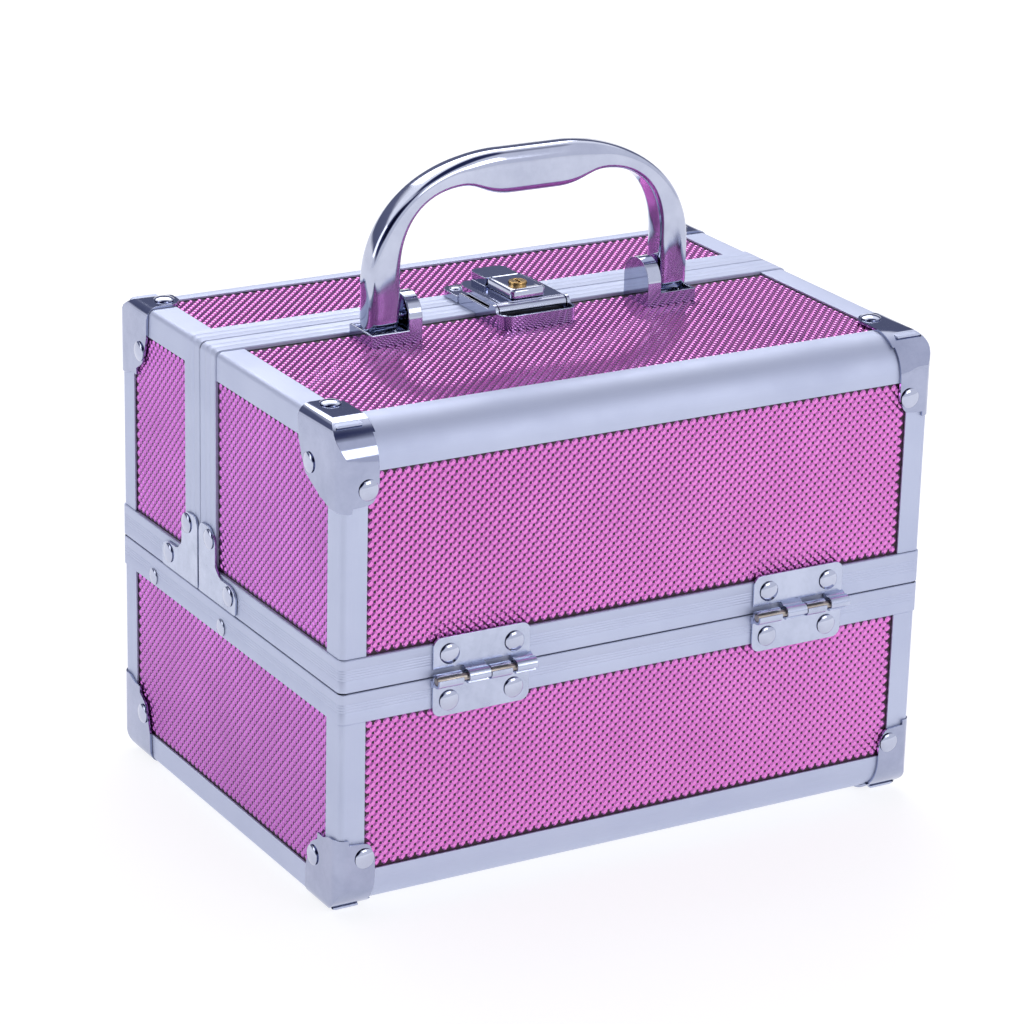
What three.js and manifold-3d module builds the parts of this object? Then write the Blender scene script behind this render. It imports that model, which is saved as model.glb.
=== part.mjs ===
// Makeup train case: a box-shaped vanity case whose top is split into two lids that fold outwards on
// hinges at the long sides. Each lid lifts a level tray on a parallelogram linkage. The larger front
// lid carries the handle and the latch. Millimetres, +X along the case, -Y towards the front lid, +Z up.
// The origin is under the middle of the case, on the plane that the corner caps stand on.
import * as THREE from 'three';
import { mergeVertices } from 'three/addons/utils/BufferGeometryUtils.js';
import Module from 'manifold-3d';

const wasm = await Module();
wasm.setup();

// ---- driving dimensions ----
const LENGTH = 230, WIDTH = 168.4;         // over the edge rails
const FLOOR = 1, TOP = 171.9;              // underside and top of the rails
const SEAM = 81.5;                         // parting plane between base and lids
const SPLIT = 19.7;                        // parting plane between the two lids, in Y
const PARTING = 0.25;                      // half of each parting gap
const EDGE_R = 14, POST_R = 2.2;           // radius of the long edges and of all other edges
const RAIL = 0.8, PANEL = 3.6, LINER = 1;  // thicknesses of rail flange, laminated panel and foam liner
const GAP = 0.1;                           // clearance between layers
const PROUD = 0.5;                         // how far belt and centre rails stand above the other rails
const BELT_LOW = 11.1, BELT_HIGH = 11.8;   // belt rail heights below and above the seam
const CENTRE = 11.7;                       // width of each centre rail
const EDGE_SIDE = 14.9, EDGE_FLAT = 16;    // reach of the long edge rails up the side and over the flat
const END_RAIL = 10, POST_LONG = 9.4, POST_END = 10;
const CAP = 0.9;                           // corner cap sheet
const HALF_L = LENGTH / 2, HALF_W = WIDTH / 2;
const PANEL_IN = RAIL + GAP + PANEL;       // depth of a panel's inner face below the rail surface
const LINER_IN = PANEL_IN + GAP + LINER;

const HINGE_Y = HALF_W + 4.2, HINGE_X = 63, HINGE_HALF = 18.4;
const KNUCKLE_R = 2.5, PIN_R = 1.25, LEAF = 0.9;
const ARM_X = 107, ARM = 1.2, ARM_R = 4, PIVOT_R = 1.5, PIVOT_GAP = 0.3;
const LINK = { y: 22.4, z: 44 };           // lid hinge to tray pivot, and the same for the arm
const TRAY = { half: 106.2, wall: 1.6, low: 33.4, height: 28, edge: 8 };

const RIVET_R = 3.6, RIVET_H = 1.4, RIVET_SUNK = 0.1;
const HANDLE_Y = -1.5, HANDLE_Z = TOP + 7.5;

// ---- materials ----
const paint = (color, roughness, metalness) => new THREE.MeshStandardMaterial({ color, roughness, metalness });
const aluminium = paint(0xc3ccd8, 0.38, 1);
const chrome = paint(0xd9dde2, 0.08, 1);
const satinChrome = paint(0xbcc3cc, 0.3, 1);
const pink = paint(0xce6cc2, 0.32, 0);
const black = paint(0x141416, 0.6, 0);
const foam = paint(0x1b1b1e, 0.9, 0);
const brass = paint(0xb98a4a, 0.3, 1);
const steel = paint(0x8d8379, 0.4, 1);
const silvered = paint(0xe6ecf0, 0.02, 1);

// ---- solids ----
const solid = (geometry) => {
  const bare = geometry.clone();
  for (const name of Object.keys(bare.attributes)) if (name !== 'position') bare.deleteAttribute(name);
  const merged = mergeVertices(bare, 1e-4);
  return new wasm.Manifold(new wasm.Mesh({
    numProp: 3,
    vertProperties: new Float32Array(merged.attributes.position.array),
    triVerts: new Uint32Array(merged.index.array),
  }));
};
const box = (x0, x1, y0, y1, z0, z1) =>
  solid(new THREE.BoxGeometry(x1 - x0, y1 - y0, z1 - z0)
    .translate((x0 + x1) / 2, (y0 + y1) / 2, (z0 + z1) / 2));
const join = (...solids) => solids.reduce((sum, next) => sum.add(next));

const roundRect = (x0, y0, x1, y1, r, steps = 8) => {
  const radii = Array.isArray(r) ? r : [r, r, r, r];   // from the low corner, anticlockwise
  const corners = [[x0, y0, 1, 1], [x1, y0, -1, 1], [x1, y1, -1, -1], [x0, y1, 1, -1]];
  const points = [];
  corners.forEach(([x, y, sx, sy], i) => {
    const radius = radii[i];
    if (radius < 0.1) { points.push(new THREE.Vector2(x, y)); return; }
    for (let k = 0; k <= steps; k++) {
      const angle = Math.PI * (1 + i / 2) + (Math.PI / 2) * (k / steps);
      points.push(new THREE.Vector2(
        x + sx * radius + radius * Math.cos(angle), y + sy * radius + radius * Math.sin(angle)));
    }
  });
  return new THREE.Shape(points);
};
const polygon = (pairs) => new THREE.Shape(pairs.map(([x, y]) => new THREE.Vector2(x, y)));

// extrudes a shape along one axis: its plane is YZ for x, XZ for y and XY for z
const extrude = (axis, shape, from, to, steps = 8) => {
  const geometry = new THREE.ExtrudeGeometry(shape, { depth: to - from, bevelEnabled: false, curveSegments: steps });
  const matrix = new THREE.Matrix4();
  if (axis === 'x') matrix.set(0, 0, 1, from, 1, 0, 0, 0, 0, 1, 0, 0, 0, 0, 0, 1);
  if (axis === 'y') matrix.set(1, 0, 0, 0, 0, 0, -1, to, 0, 1, 0, 0, 0, 0, 0, 1);
  if (axis === 'z') matrix.makeTranslation(0, 0, from);
  return solid(geometry.applyMatrix4(matrix));
};
// a round bar along an axis, centred on two coordinates of the plane that extrude() uses
const bar = (axis, u, v, r, from, to, sides = 12) => {
  const points = Array.from({ length: sides }, (_, i) =>
    [u + r * Math.cos((2 * Math.PI * i) / sides), v + r * Math.sin((2 * Math.PI * i) / sides)]);
  return extrude(axis, polygon(points), from, to);
};

// the closed outer form of the case, grown or shrunk by an offset
const outlineYZ = (o) => roundRect(-HALF_W - o, FLOOR - o, HALF_W + o, TOP + o, EDGE_R + o);
const outlineXY = (o) => roundRect(-HALF_L - o, -HALF_W - o, HALF_L + o, HALF_W + o, POST_R + o, 4);
const outlineXZ = (o) => roundRect(-HALF_L - o, FLOOR - o, HALF_L + o, TOP + o, POST_R + o, 4);
const form = (o) => extrude('x', outlineYZ(o), -HALF_L - o, HALF_L + o)
  .intersect(extrude('z', outlineXY(o), FLOOR - o, TOP + o))
  .intersect(extrude('y', outlineXZ(o), -HALF_W - o, HALF_W + o));
const surface = form(0), underRail = form(-RAIL), panelFace = form(-RAIL - GAP);
const panelBack = form(-PANEL_IN), linerFace = form(-PANEL_IN - GAP), hollow = form(-LINER_IN);
const railSkin = surface.subtract(underRail);
const panelSkin = panelFace.subtract(panelBack);
const linerSkin = linerFace.subtract(hollow);
const section = extrude('x', outlineYZ(-PANEL_IN - GAP), -HALF_L, HALF_L);

// ---- the assembly ----
const trainCase = new THREE.Group();
trainCase.name = 'makeup_train_case';
const add = (name, body, material) => {
  const { numProp, vertProperties, triVerts } = body.getMesh();
  const geometry = new THREE.BufferGeometry();
  const positions = new Float32Array((vertProperties.length / numProp) * 3);
  for (let i = 0; i < positions.length / 3; i++)
    for (let k = 0; k < 3; k++) positions[3 * i + k] = vertProperties[numProp * i + k];
  geometry.setAttribute('position', new THREE.BufferAttribute(positions, 3));
  geometry.setIndex(new THREE.BufferAttribute(new Uint32Array(triVerts), 1));
  geometry.computeVertexNormals();
  const mesh = new THREE.Mesh(geometry, material);
  mesh.name = name;
  trainCase.add(mesh);
};

// a domed rivet head set a little into the plate that it holds: direction is one of +x -x +y -y +z
const rivetGeometry = (r, h) => {
  const profile = [[0, 0], [r, 0], [r * 0.92, h * 0.45], [r * 0.6, h * 0.85], [0, h]];
  return new THREE.LatheGeometry(profile.map(([x, y]) => new THREE.Vector2(x, y)), 12);
};
const rivet = (x, y, z, direction, r = RIVET_R, h = RIVET_H) => {
  const normals = { x: [1, 0, 0], y: [0, 1, 0], z: [0, 0, 1] };
  const normal = new THREE.Vector3(...normals[direction[1]]).multiplyScalar(direction[0] === '-' ? -1 : 1);
  const turn = new THREE.Quaternion().setFromUnitVectors(new THREE.Vector3(0, 1, 0), normal);
  const geometry = rivetGeometry(r, h).applyQuaternion(turn);
  return solid(geometry.translate(x - normal.x * RIVET_SUNK, y - normal.y * RIVET_SUNK, z - normal.z * RIVET_SUNK));
};
const SIDES = [-1, 1];
const between = (a, b) => [Math.min(a, b), Math.max(a, b)];

// ---- the three tubs: base, front lid and rear lid ----
// A tub is the part of the case form inside y0..y1 and z0..z1.
const BASE = { name: 'base', y0: -HALF_W, y1: HALF_W, z0: FLOOR, z1: SEAM - PARTING };
const FRONT = { name: 'front_lid', y0: -HALF_W, y1: SPLIT - PARTING, z0: SEAM + PARTING, z1: TOP };
const REAR = { name: 'rear_lid', y0: SPLIT + PARTING, y1: HALF_W, z0: SEAM + PARTING, z1: TOP };
const LIP = 1;                                       // flange of a belt or centre rail over panel edges
const FAR = 150;
// sheet limits: panels and liner stop under the lips at the seam and the split
const sheetSpace = (tub) => {
  const isBase = tub === BASE;
  return box(-FAR, FAR,
    tub === REAR ? tub.y0 + LIP + GAP : -FAR, tub === FRONT ? tub.y1 - LIP - GAP : FAR,
    isBase ? -FAR : tub.z0 + LIP + GAP, isBase ? tub.z1 - LIP - GAP : 2 * FAR);
};
const panelsOf = (tub) => {
  const space = sheetSpace(tub);
  const isBase = tub === BASE;
  const inside = panelSkin.intersect(space);
  const straight = isBase ? [FLOOR + EDGE_R + GAP, FAR] : [0, TOP - EDGE_R - GAP];
  const longSide = (sign) => inside.intersect(
    box(-FAR, FAR, ...between(sign * FAR, sign * (HALF_W - PANEL_IN)), ...straight));
  const ends = panelFace.intersect(section).intersect(space);
  const end = (sign) => ends.intersect(
    box(...between(sign * FAR, sign * (HALF_L - PANEL_IN)), -FAR, FAR, -FAR, 2 * FAR));
  const flatZ = isBase ? [-FAR, FLOOR + PANEL_IN] : [TOP - PANEL_IN, 2 * FAR];
  const flatY = HALF_W - EDGE_R - GAP;
  return { longSide, end, flat: inside.intersect(box(-FAR, FAR, -flatY, flatY, ...flatZ)) };
};

// a belt rail wraps the tub's mouth: an outer leg, a lip over the sheet edges, and end lips at the split
const beltOf = (tub) => {
  const isBase = tub === BASE;
  const z0 = isBase ? SEAM - BELT_LOW : tub.z0, z1 = isBase ? tub.z1 : SEAM + BELT_HIGH;
  const leg = extrude('z', outlineXY(PROUD), z0, z1).subtract(extrude('z', outlineXY(-RAIL), z0 - 1, z1 + 1));
  const lipZ = isBase ? [z1 - LIP, z1] : [z0, z0 + LIP];
  const ring = extrude('z', outlineXY(PROUD), z0, z1).subtract(extrude('z', outlineXY(-LINER_IN), z0 - 1, z1 + 1));
  const lip = ring.intersect(box(-FAR, FAR, -FAR, FAR, ...lipZ));
  if (isBase) return join(leg, lip);
  const mouth = box(-FAR, FAR, tub === REAR ? tub.y0 : -FAR, tub === FRONT ? tub.y1 : FAR, z0, z1);
  const endLip = tub === FRONT ? [tub.y1 - LIP, tub.y1] : [tub.y0, tub.y0 + LIP];
  return join(leg, lip, ring.intersect(box(-FAR, FAR, ...endLip, z0, z1))).intersect(mouth);
};

// a centre rail edges the lid at the split, up both ends and across the top
const centreOf = (tub) => {
  const [y0, y1] = tub === FRONT ? [tub.y1 - CENTRE, tub.y1] : [tub.y0, tub.y0 + CENTRE];
  const lipY = tub === FRONT ? [y1 - LIP, y1] : [y0, y0 + LIP];
  const bow = extrude('y', outlineXZ(PROUD), y0, y1);
  const leg = bow.subtract(extrude('y', outlineXZ(-RAIL), y0 - 1, y1 + 1));
  const lip = bow.subtract(extrude('y', outlineXZ(-LINER_IN), y0 - 1, y1 + 1))
    .intersect(box(-FAR, FAR, ...lipY, 0, 2 * FAR));
  return join(leg, lip).intersect(box(-FAR, FAR, -FAR, FAR, SEAM + BELT_HIGH + GAP, 2 * FAR));
};

// The edge frame of a tub is bent sheet rail: long edges with a solid quarter-round core between the
// panels that they hold, end rails, and posts at the upright corners.
const edgeFrameOf = (tub) => {
  const isBase = tub === BASE;
  const rows = isBase ? SIDES : [tub === FRONT ? -1 : 1];
  const sideReach = isBase ? EDGE_SIDE + 0.6 : EDGE_SIDE;
  const fromEdge = (reach) => (isBase ? [-FAR, FLOOR + reach] : [TOP - reach, 2 * FAR]);
  const endY = [tub === REAR ? tub.y0 + CENTRE + GAP : -FAR, tub === FRONT ? tub.y1 - CENTRE - GAP : FAR];
  const postZ = isBase ? [FLOOR + EDGE_R, SEAM - BELT_LOW - GAP] : [SEAM + BELT_HIGH + GAP, TOP - EDGE_R];
  const coreX = HALF_L - PANEL_IN - GAP;
  const outerY = (sy, inset) => between(sy * FAR, sy * (HALF_W - inset));
  const outerX = (sx, inset) => between(sx * FAR, sx * (HALF_L - inset));
  const flanges = join(
    ...rows.map((sy) => box(-FAR, FAR, ...outerY(sy, EDGE_FLAT), ...fromEdge(sideReach))),
    ...SIDES.map((sx) => box(...outerX(sx, END_RAIL + 0.5), ...endY, ...fromEdge(END_RAIL))),
    ...rows.flatMap((sy) => SIDES.map((sx) => box(...outerX(sx, POST_LONG), ...outerY(sy, POST_END), ...postZ))));
  const core = join(...rows.map((sy) => box(-coreX, coreX, ...outerY(sy, EDGE_R), ...fromEdge(EDGE_R))));
  return join(railSkin.intersect(flanges), surface.subtract(panelBack).intersect(core));
};

// A corner cap is pressed sheet that wraps three faces, with a tab on each. Tabs are outlines in
// insets from the corner: along X and Z on the long face, X and Y on the flat, Y and Z on the end.
const LONG_TAB = [[-2, -2], [13, -2], [13, 21], [11.2, 24.6], [7.6, 26], [-2, 26]];
const capOf = (sx, sy, sz, reach) => {
  const stretch = reach / 30;
  const flatTab = [[-2, -2], [13.9, -2], [13.9, reach - 5], [11.8, reach - 1.4], [8, reach], [-2, reach]];
  const endTab = [[-2, -2], [30, -2], [29.2, 10.4], [26.6, 17], [23.6, 22], [13.7, 26], [7.5, 27.6], [-2, 28]]
    .map(([y, z]) => [y * stretch, z]);
  const sheet = form(GAP + CAP).subtract(form(GAP));
  const cornerZ = sz > 0 ? TOP : FLOOR;
  const wind = (pairs, flip) => polygon(flip ? [...pairs].reverse() : pairs);
  const onLong = LONG_TAB.map(([x, z]) => [sx * (HALF_L - x), cornerZ - sz * z]);
  const onFlat = flatTab.map(([x, y]) => [sx * (HALF_L - x), sy * (HALF_W - y)]);
  const onEnd = endTab.map(([y, z]) => [sy * (HALF_W - y), cornerZ - sz * z]);
  const flip = (a, b) => a * b < 0;
  const prisms = join(
    extrude('y', wind(onLong, flip(sx, sz)), ...between(sy * (HALF_W - EDGE_R), sy * (HALF_W + 3))),
    extrude('z', wind(onFlat, flip(sx, sy)), ...between(cornerZ - sz * 3, cornerZ + sz * 3)),
    extrude('x', wind(onEnd, flip(sy, sz)), ...between(sx * (HALF_L - 3), sx * (HALF_L + 3))));
  return sheet.intersect(prisms);
};
const signName = (sign, axis) => (sign < 0 ? '-' : '+') + axis;
const rivetedCap = (tub, sx, sy) => {
  const sz = tub === BASE ? -1 : 1;
  const cornerZ = sz > 0 ? TOP : FLOOR;
  const lift = GAP + CAP, isFront = tub === FRONT;
  const rivets = [
    rivet(sx * (HALF_L - 9), sy * (HALF_W + lift), cornerZ - sz * 20.5, signName(sy, 'y')),
    rivet(sx * (HALF_L + lift), sy * (HALF_W - (isFront ? 21.3 : 17)), cornerZ - sz * 16.5, signName(sx, 'x'))];
  if (sz > 0) rivets.push(rivet(sx * (HALF_L - 8.6), sy * (HALF_W - (isFront ? 25.1 : 17)), TOP + lift, '+z'));
  return join(capOf(sx, sy, sz, isFront ? 29.8 : 23), ...rivets);
};

// L-shaped plates tie each lid's belt rail to its centre rail, outside both ends
const plateFace = HALF_L + PROUD + GAP;
const PLATE_RIVETS = [[8.6, 23.3], [23.4, 7.2]];
const jointPlateOf = (tub, sx) => {
  const sign = tub === FRONT ? -1 : 1;
  const edge = tub === FRONT ? tub.y1 : tub.y0;
  const corners = [[0.4, 1], [28, 1], [29, 2.6], [29, 8], [27, 10.7], [15.5, 10.7], [13, 13.2], [13, 23.5],
    [10.5, 27], [3, 27], [0.4, 25]];
  const outline = corners.map(([y, z]) => [edge + sign * y, SEAM + z]);
  const shape = polygon(sign < 0 ? outline.reverse() : outline);
  const rivets = PLATE_RIVETS.map(([y, z]) =>
    rivet(sx * (plateFace + CAP), edge + sign * y, SEAM + z, signName(sx, 'x'), 3.3));
  return join(extrude('x', shape, ...between(sx * plateFace, sx * (plateFace + CAP))), ...rivets);
};

// hinges: one leaf rises over the lid's belt rail, the other hangs over the base's
const KNUCKLES = [9.4, 8.1, 7.9, 7.8], KNUCKLE_GAPS = [2.2, 0.3, 1.9];
const hingeSpan = KNUCKLES.concat(KNUCKLE_GAPS).reduce((a, b) => a + b);
const knuckleSpans = KNUCKLES.map((width, i) => {
  const start = -hingeSpan / 2 + [...KNUCKLES.slice(0, i), ...KNUCKLE_GAPS.slice(0, i)].reduce((a, b) => a + b, 0);
  return [start, start + width];
});
const leafOf = (sy, up, xc) => {
  const face = HALF_W + PROUD + GAP;
  const z = (h) => SEAM + up * h;
  const plate = extrude('y', roundRect(xc - HINGE_HALF, Math.min(z(3), z(14)), xc + HINGE_HALF,
    Math.max(z(3), z(14)), up > 0 ? [0, 0, 3, 3] : [3, 3, 0, 0], 3), ...between(sy * face, sy * (face + LEAF)));
  const fingers = knuckleSpans.filter((_, i) => (i % 2 === 0) === (up < 0)).map(([a, b]) => {
    const x0 = xc + a, x1 = xc + b;
    const web = box(x0, x1, ...between(sy * face, sy * HINGE_Y), ...between(z(0.4), z(2.3)));
    const strap = box(x0, x1, ...between(sy * face, sy * (face + LEAF)), ...between(z(0.4), z(3.5)));
    const tube = bar('x', sy * HINGE_Y, SEAM, KNUCKLE_R, x0, x1);
    const bore = bar('x', sy * HINGE_Y, SEAM, PIN_R + 0.25, x0 - 1, x1 + 1);
    return up > 0 ? join(tube, web, strap).subtract(bore) : join(tube, web, strap);
  });
  const rivets = SIDES.map((side) =>
    rivet(xc + side * 12.3, sy * (face + LEAF), z(up > 0 ? 8 : 8.6), signName(sy, 'y')));
  // the pin is fast in the base's leaf, and the lid's knuckles turn on it
  const pin = up < 0 ? [bar('x', sy * HINGE_Y, SEAM, PIN_R, xc - hingeSpan / 2, xc + hingeSpan / 2)] : [];
  return join(plate, ...fingers, ...rivets, ...pin);
};

// tray linkage: pivots in the YZ plane for the lid on side sy
const pivotsOf = (sy) => {
  const lid = { y: sy * (HINGE_Y - LINK.y), z: SEAM + LINK.z };
  const base = { y: sy < 0 ? -10 : 48, z: SEAM - 5 };
  return { lid, base, arm: { y: base.y - sy * LINK.y, z: base.z + LINK.z } };
};
const STUD_END = HALF_L - RAIL - 2.2;                // studs turn in blind holes in the end panels
const COLLAR_R = 3.2;
const studHoles = (pivot) => bar('x', pivot.y, pivot.z, PIVOT_R + PIVOT_GAP, -STUD_END - 0.3, STUD_END + 0.3);
const frontLink = pivotsOf(-1), rearLink = pivotsOf(1);

const sideName = { '-1': 'left', 1: 'right' }, rowName = { '-1': 'front', 1: 'rear' };
const buildTub = (tub, rows, pivots) => {
  const { name } = tub, isBase = tub === BASE;
  const drilled = (body) => pivots.map(studHoles).reduce((left, hole) => left.subtract(hole), body);
  const panels = panelsOf(tub);
  for (const sy of rows) add(`${name}_${rowName[sy]}_panel`, panels.longSide(sy), pink);
  for (const sx of SIDES) add(`${name}_end_panel_${sideName[sx]}`, drilled(panels.end(sx)), pink);
  add(`${name}_${isBase ? 'floor' : 'top'}_panel`, panels.flat, isBase ? black : pink);
  add(`${name}_liner`, drilled(linerSkin.intersect(sheetSpace(tub))), foam);
  const beltRivets = isBase ? SIDES.flatMap((sx) => [3.4, 57.9].map((y) =>
    rivet(sx * (HALF_L + PROUD), y, SEAM - 7.6, signName(sx, 'x'), 3))) : [];
  add(`${name}_belt_rail`, join(beltOf(tub), ...beltRivets), aluminium);
  add(`${name}_edge_frame`, edgeFrameOf(tub), aluminium);
  for (const sy of rows) for (const sx of SIDES) {
    const place = isBase ? `${rowName[sy]}_${sideName[sx]}` : sideName[sx];
    add(`${name}_corner_cap_${place}`, rivetedCap(tub, sx, sy), chrome);
    add(`${name}_hinge_leaf_${place}`, leafOf(sy, isBase ? -1 : 1, sx * HINGE_X), satinChrome);
  }
  if (isBase) return;
  add(`${name}_centre_rail`, centreOf(tub), aluminium);
  for (const sx of SIDES) add(`${name}_joint_plate_${sideName[sx]}`, jointPlateOf(tub, sx), chrome);
};
buildTub(BASE, SIDES, [frontLink.base, rearLink.base]);
buildTub(FRONT, [-1], [frontLink.lid]);
buildTub(REAR, [1], [rearLink.lid]);

// ---- trays and their arms ----
const trayOf = (sy, y0, y1, walls) => {
  const { half, wall, low, height, edge } = TRAY;
  const z0 = SEAM + low, z1 = z0 + height;
  const outer = extrude('x', roundRect(y0, z0, y1, z1, sy < 0 ? [edge, 1, 0, 0] : [1, edge, 0, 0], 4), -half, half);
  const innerEdge = edge - wall;
  const shape = roundRect(y0 + wall, z0 + wall, y1 - wall, z1 + 5, sy < 0 ? [innerEdge, 0, 0, 0] : [0, innerEdge, 0, 0], 4);
  const inner = extrude('x', shape, -half + wall, half - wall);
  const { lid, arm } = pivotsOf(sy);
  const hollowed = outer.subtract(inner);
  const studs = SIDES.flatMap((sx) => [
    bar('x', lid.y, lid.z, PIVOT_R, ...between(sx * (half - 0.5), sx * STUD_END)),
    bar('x', lid.y, lid.z, COLLAR_R, ...between(sx * (half - 0.5), sx * (HALF_L - LINER_IN - 0.3)))]);
  const dividers = walls.map(([axis, at, from, to]) => (axis === 'x'
    ? box(at - wall / 2, at + wall / 2, from, to, z0 + 0.5, z1 - 5)
    : box(from, to, at - wall / 2, at + wall / 2, z0 + 0.5, z1 - 5)));
  const armHole = bar('x', arm.y, arm.z, PIVOT_R + PIVOT_GAP, -half - 1, half + 1);
  return join(join(hollowed, ...dividers).intersect(outer), ...studs).subtract(armHole);
};
// a flat arm with one stud out into the base's end panel and one in through the tray's end
const armOf = (sy, sx) => {
  const { base, arm } = pivotsOf(sy);
  const [x0, x1] = between(sx * ARM_X, sx * (ARM_X + ARM));
  const eyes = [base, arm].map((eye) => bar('x', eye.y, eye.z, ARM_R, x0, x1, 16));
  const length = Math.hypot(LINK.y, LINK.z), ny = (LINK.z / length) * ARM_R, nz = (sy * LINK.y / length) * ARM_R;
  const strip = [[base.y - ny, base.z - nz], [base.y + ny, base.z + nz], [arm.y + ny, arm.z + nz],
    [arm.y - ny, arm.z - nz]];
  const outward = bar('x', base.y, base.z, PIVOT_R, ...between(sx * (ARM_X + 0.2), sx * STUD_END));
  const inward = bar('x', arm.y, arm.z, PIVOT_R, ...between(sx * (TRAY.half - TRAY.wall - 0.6), sx * (ARM_X + 0.2)));
  return join(...eyes, extrude('x', polygon(strip), x0, x1), outward, inward);
};
const FRONT_TRAY = [-76.6, 17], REAR_TRAY = [22.4, 76.6];
add('front_tray', trayOf(-1, ...FRONT_TRAY, [['y', -38, -100, 100], ['x', -35, -70, -38], ['x', 35, -70, -38],
  ['x', 0, -38, 15]]), black);
add('rear_tray', trayOf(1, ...REAR_TRAY, [['x', -35, 23, 70], ['x', 35, 23, 70]]), black);
for (const sy of SIDES) for (const sx of SIDES)
  add(`${rowName[sy]}_tray_arm_${sideName[sx]}`, armOf(sy, sx), steel);

// ---- mirror under the front lid's top ----
const MIRROR = { x: 99, y0: -70, y1: 14, border: 5, z1: TOP - LINER_IN - GAP, thick: 3 };
const mirrorZ = MIRROR.z1 - MIRROR.thick;
add('mirror_frame', extrude('z', roundRect(-MIRROR.x, MIRROR.y0, MIRROR.x, MIRROR.y1, 5, 4), mirrorZ, MIRROR.z1)
  .subtract(box(-MIRROR.x + MIRROR.border, MIRROR.x - MIRROR.border, MIRROR.y0 + MIRROR.border,
    MIRROR.y1 - MIRROR.border, mirrorZ - 1, MIRROR.z1 + 1)), black);
const glassIn = MIRROR.border + 0.3;
add('mirror_glass', box(-MIRROR.x + glassIn, MIRROR.x - glassIn, MIRROR.y0 + glassIn, MIRROR.y1 - glassIn,
  mirrorZ + 1, MIRROR.z1), silvered);

// ---- handle and its brackets, whose pins carry the handle's feet ----
const panelTop = TOP - RAIL;                         // the lids' sheet surface
const BRACKET = { ear0: 45.3, ear1: 50.6, foot: 65, half: 8.2, rim: 4, wall: 1 };
const bracketOf = (sx) => {
  const { ear0, ear1, foot, half, rim, wall } = BRACKET;
  const y0 = HANDLE_Y - half, y1 = HANDLE_Y + half;
  const post = box(...between(sx * ear0, sx * ear1), y0, y1, panelTop, HANDLE_Z);
  const crown = bar('x', HANDLE_Y, HANDLE_Z, half, ...between(sx * ear0, sx * ear1), 24);
  const dish = box(...between(sx * (ear1 - 1), sx * foot), y0, y1, panelTop, TOP + rim);
  const pocket = box(...between(sx * ear1, sx * (foot - wall)), y0 + wall, y1 - wall, TOP + 1.1, TOP + rim + 1);
  const pin = bar('x', HANDLE_Y, HANDLE_Z, 1.8, ...between(sx * (ear1 - 1), sx * 63.5));
  return join(post, crown.intersect(box(-70, 70, y0, y1, panelTop, TOP + 30)), dish.subtract(pocket), pin);
};
add('handle_bracket_left', bracketOf(-1), chrome);
add('handle_bracket_right', bracketOf(1), chrome);

// the handle is an arch, flat front and back, with a fuller grip in the middle
const HANDLE = { outer: 64, inner: 52, depth: 10, rise: 62, arch: 51, grip: 46.5 };
const archShape = () => {
  const z = (h) => TOP + h;
  const shape = new THREE.Shape();
  shape.moveTo(HANDLE.outer, z(0));
  shape.lineTo(HANDLE.outer, z(20));
  shape.bezierCurveTo(HANDLE.outer, z(44), 42, z(HANDLE.rise - 1), 14, z(HANDLE.rise));
  shape.lineTo(-14, z(HANDLE.rise));
  shape.bezierCurveTo(-42, z(HANDLE.rise - 1), -HANDLE.outer, z(44), -HANDLE.outer, z(20));
  shape.lineTo(-HANDLE.outer, z(0));
  shape.lineTo(-HANDLE.inner, z(0));
  shape.lineTo(-HANDLE.inner, z(24));
  shape.bezierCurveTo(-HANDLE.inner, z(42), -42, z(HANDLE.arch), -28, z(HANDLE.arch));
  shape.bezierCurveTo(-21, z(HANDLE.arch), -19, z(HANDLE.grip), -9, z(HANDLE.grip));
  shape.lineTo(9, z(HANDLE.grip));
  shape.bezierCurveTo(19, z(HANDLE.grip), 21, z(HANDLE.arch), 28, z(HANDLE.arch));
  shape.bezierCurveTo(42, z(HANDLE.arch), HANDLE.inner, z(42), HANDLE.inner, z(24));
  shape.lineTo(HANDLE.inner, z(0));
  return shape;
};
const halfDepth = HANDLE.depth / 2;
const arch = extrude('y', archShape(), HANDLE_Y - halfDepth, HANDLE_Y + halfDepth, 6);
const legRound = extrude('x', roundRect(HANDLE_Y - halfDepth, HANDLE_Z - halfDepth, HANDLE_Y + halfDepth, TOP + 80,
  [halfDepth, halfDepth, 0, 0], 5), -70, 70);
add('handle', arch.intersect(legRound).subtract(bar('x', HANDLE_Y, HANDLE_Z, 2.1, -70, 70)), chrome);

// ---- latch: a dish with a pin on the front lid, a hinged hasp with the lock, a keeper on the rear lid ----
const railTop = TOP + PROUD + GAP;
const LATCH = { half: 15, y0: -13, rim: 4.6, wall: 1, pinY: -4.5, pinZ: TOP + 4.4 };
const latchEnd = SPLIT - PARTING - 0.3;
const railEdge = SPLIT - PARTING - CENTRE - 0.2;
const dishOuter = join(
  extrude('z', roundRect(-LATCH.half, LATCH.y0, LATCH.half, railEdge, [4, 4, 0, 0], 4), panelTop, TOP + LATCH.rim),
  box(-LATCH.half, LATCH.half, railEdge - 1, latchEnd, railTop, TOP + LATCH.rim));
const dishInner = extrude('z', roundRect(-LATCH.half + LATCH.wall, LATCH.y0 + LATCH.wall, LATCH.half - LATCH.wall,
  latchEnd + 2, [3, 3, 0, 0], 4), TOP + 1.6, TOP + 9);
const latchBar = (r, half) => bar('x', LATCH.pinY, LATCH.pinZ, r, -half, half);
const ears = join(...SIDES.map((sx) => bar('x', LATCH.pinY, LATCH.pinZ, 2.6,
  ...between(sx * (LATCH.half - LATCH.wall - 0.2), sx * LATCH.half))));
const latchPin = latchBar(1, LATCH.half - 0.2);
add('latch_base', join(dishOuter.subtract(dishInner), ears, latchPin), chrome);

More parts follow.
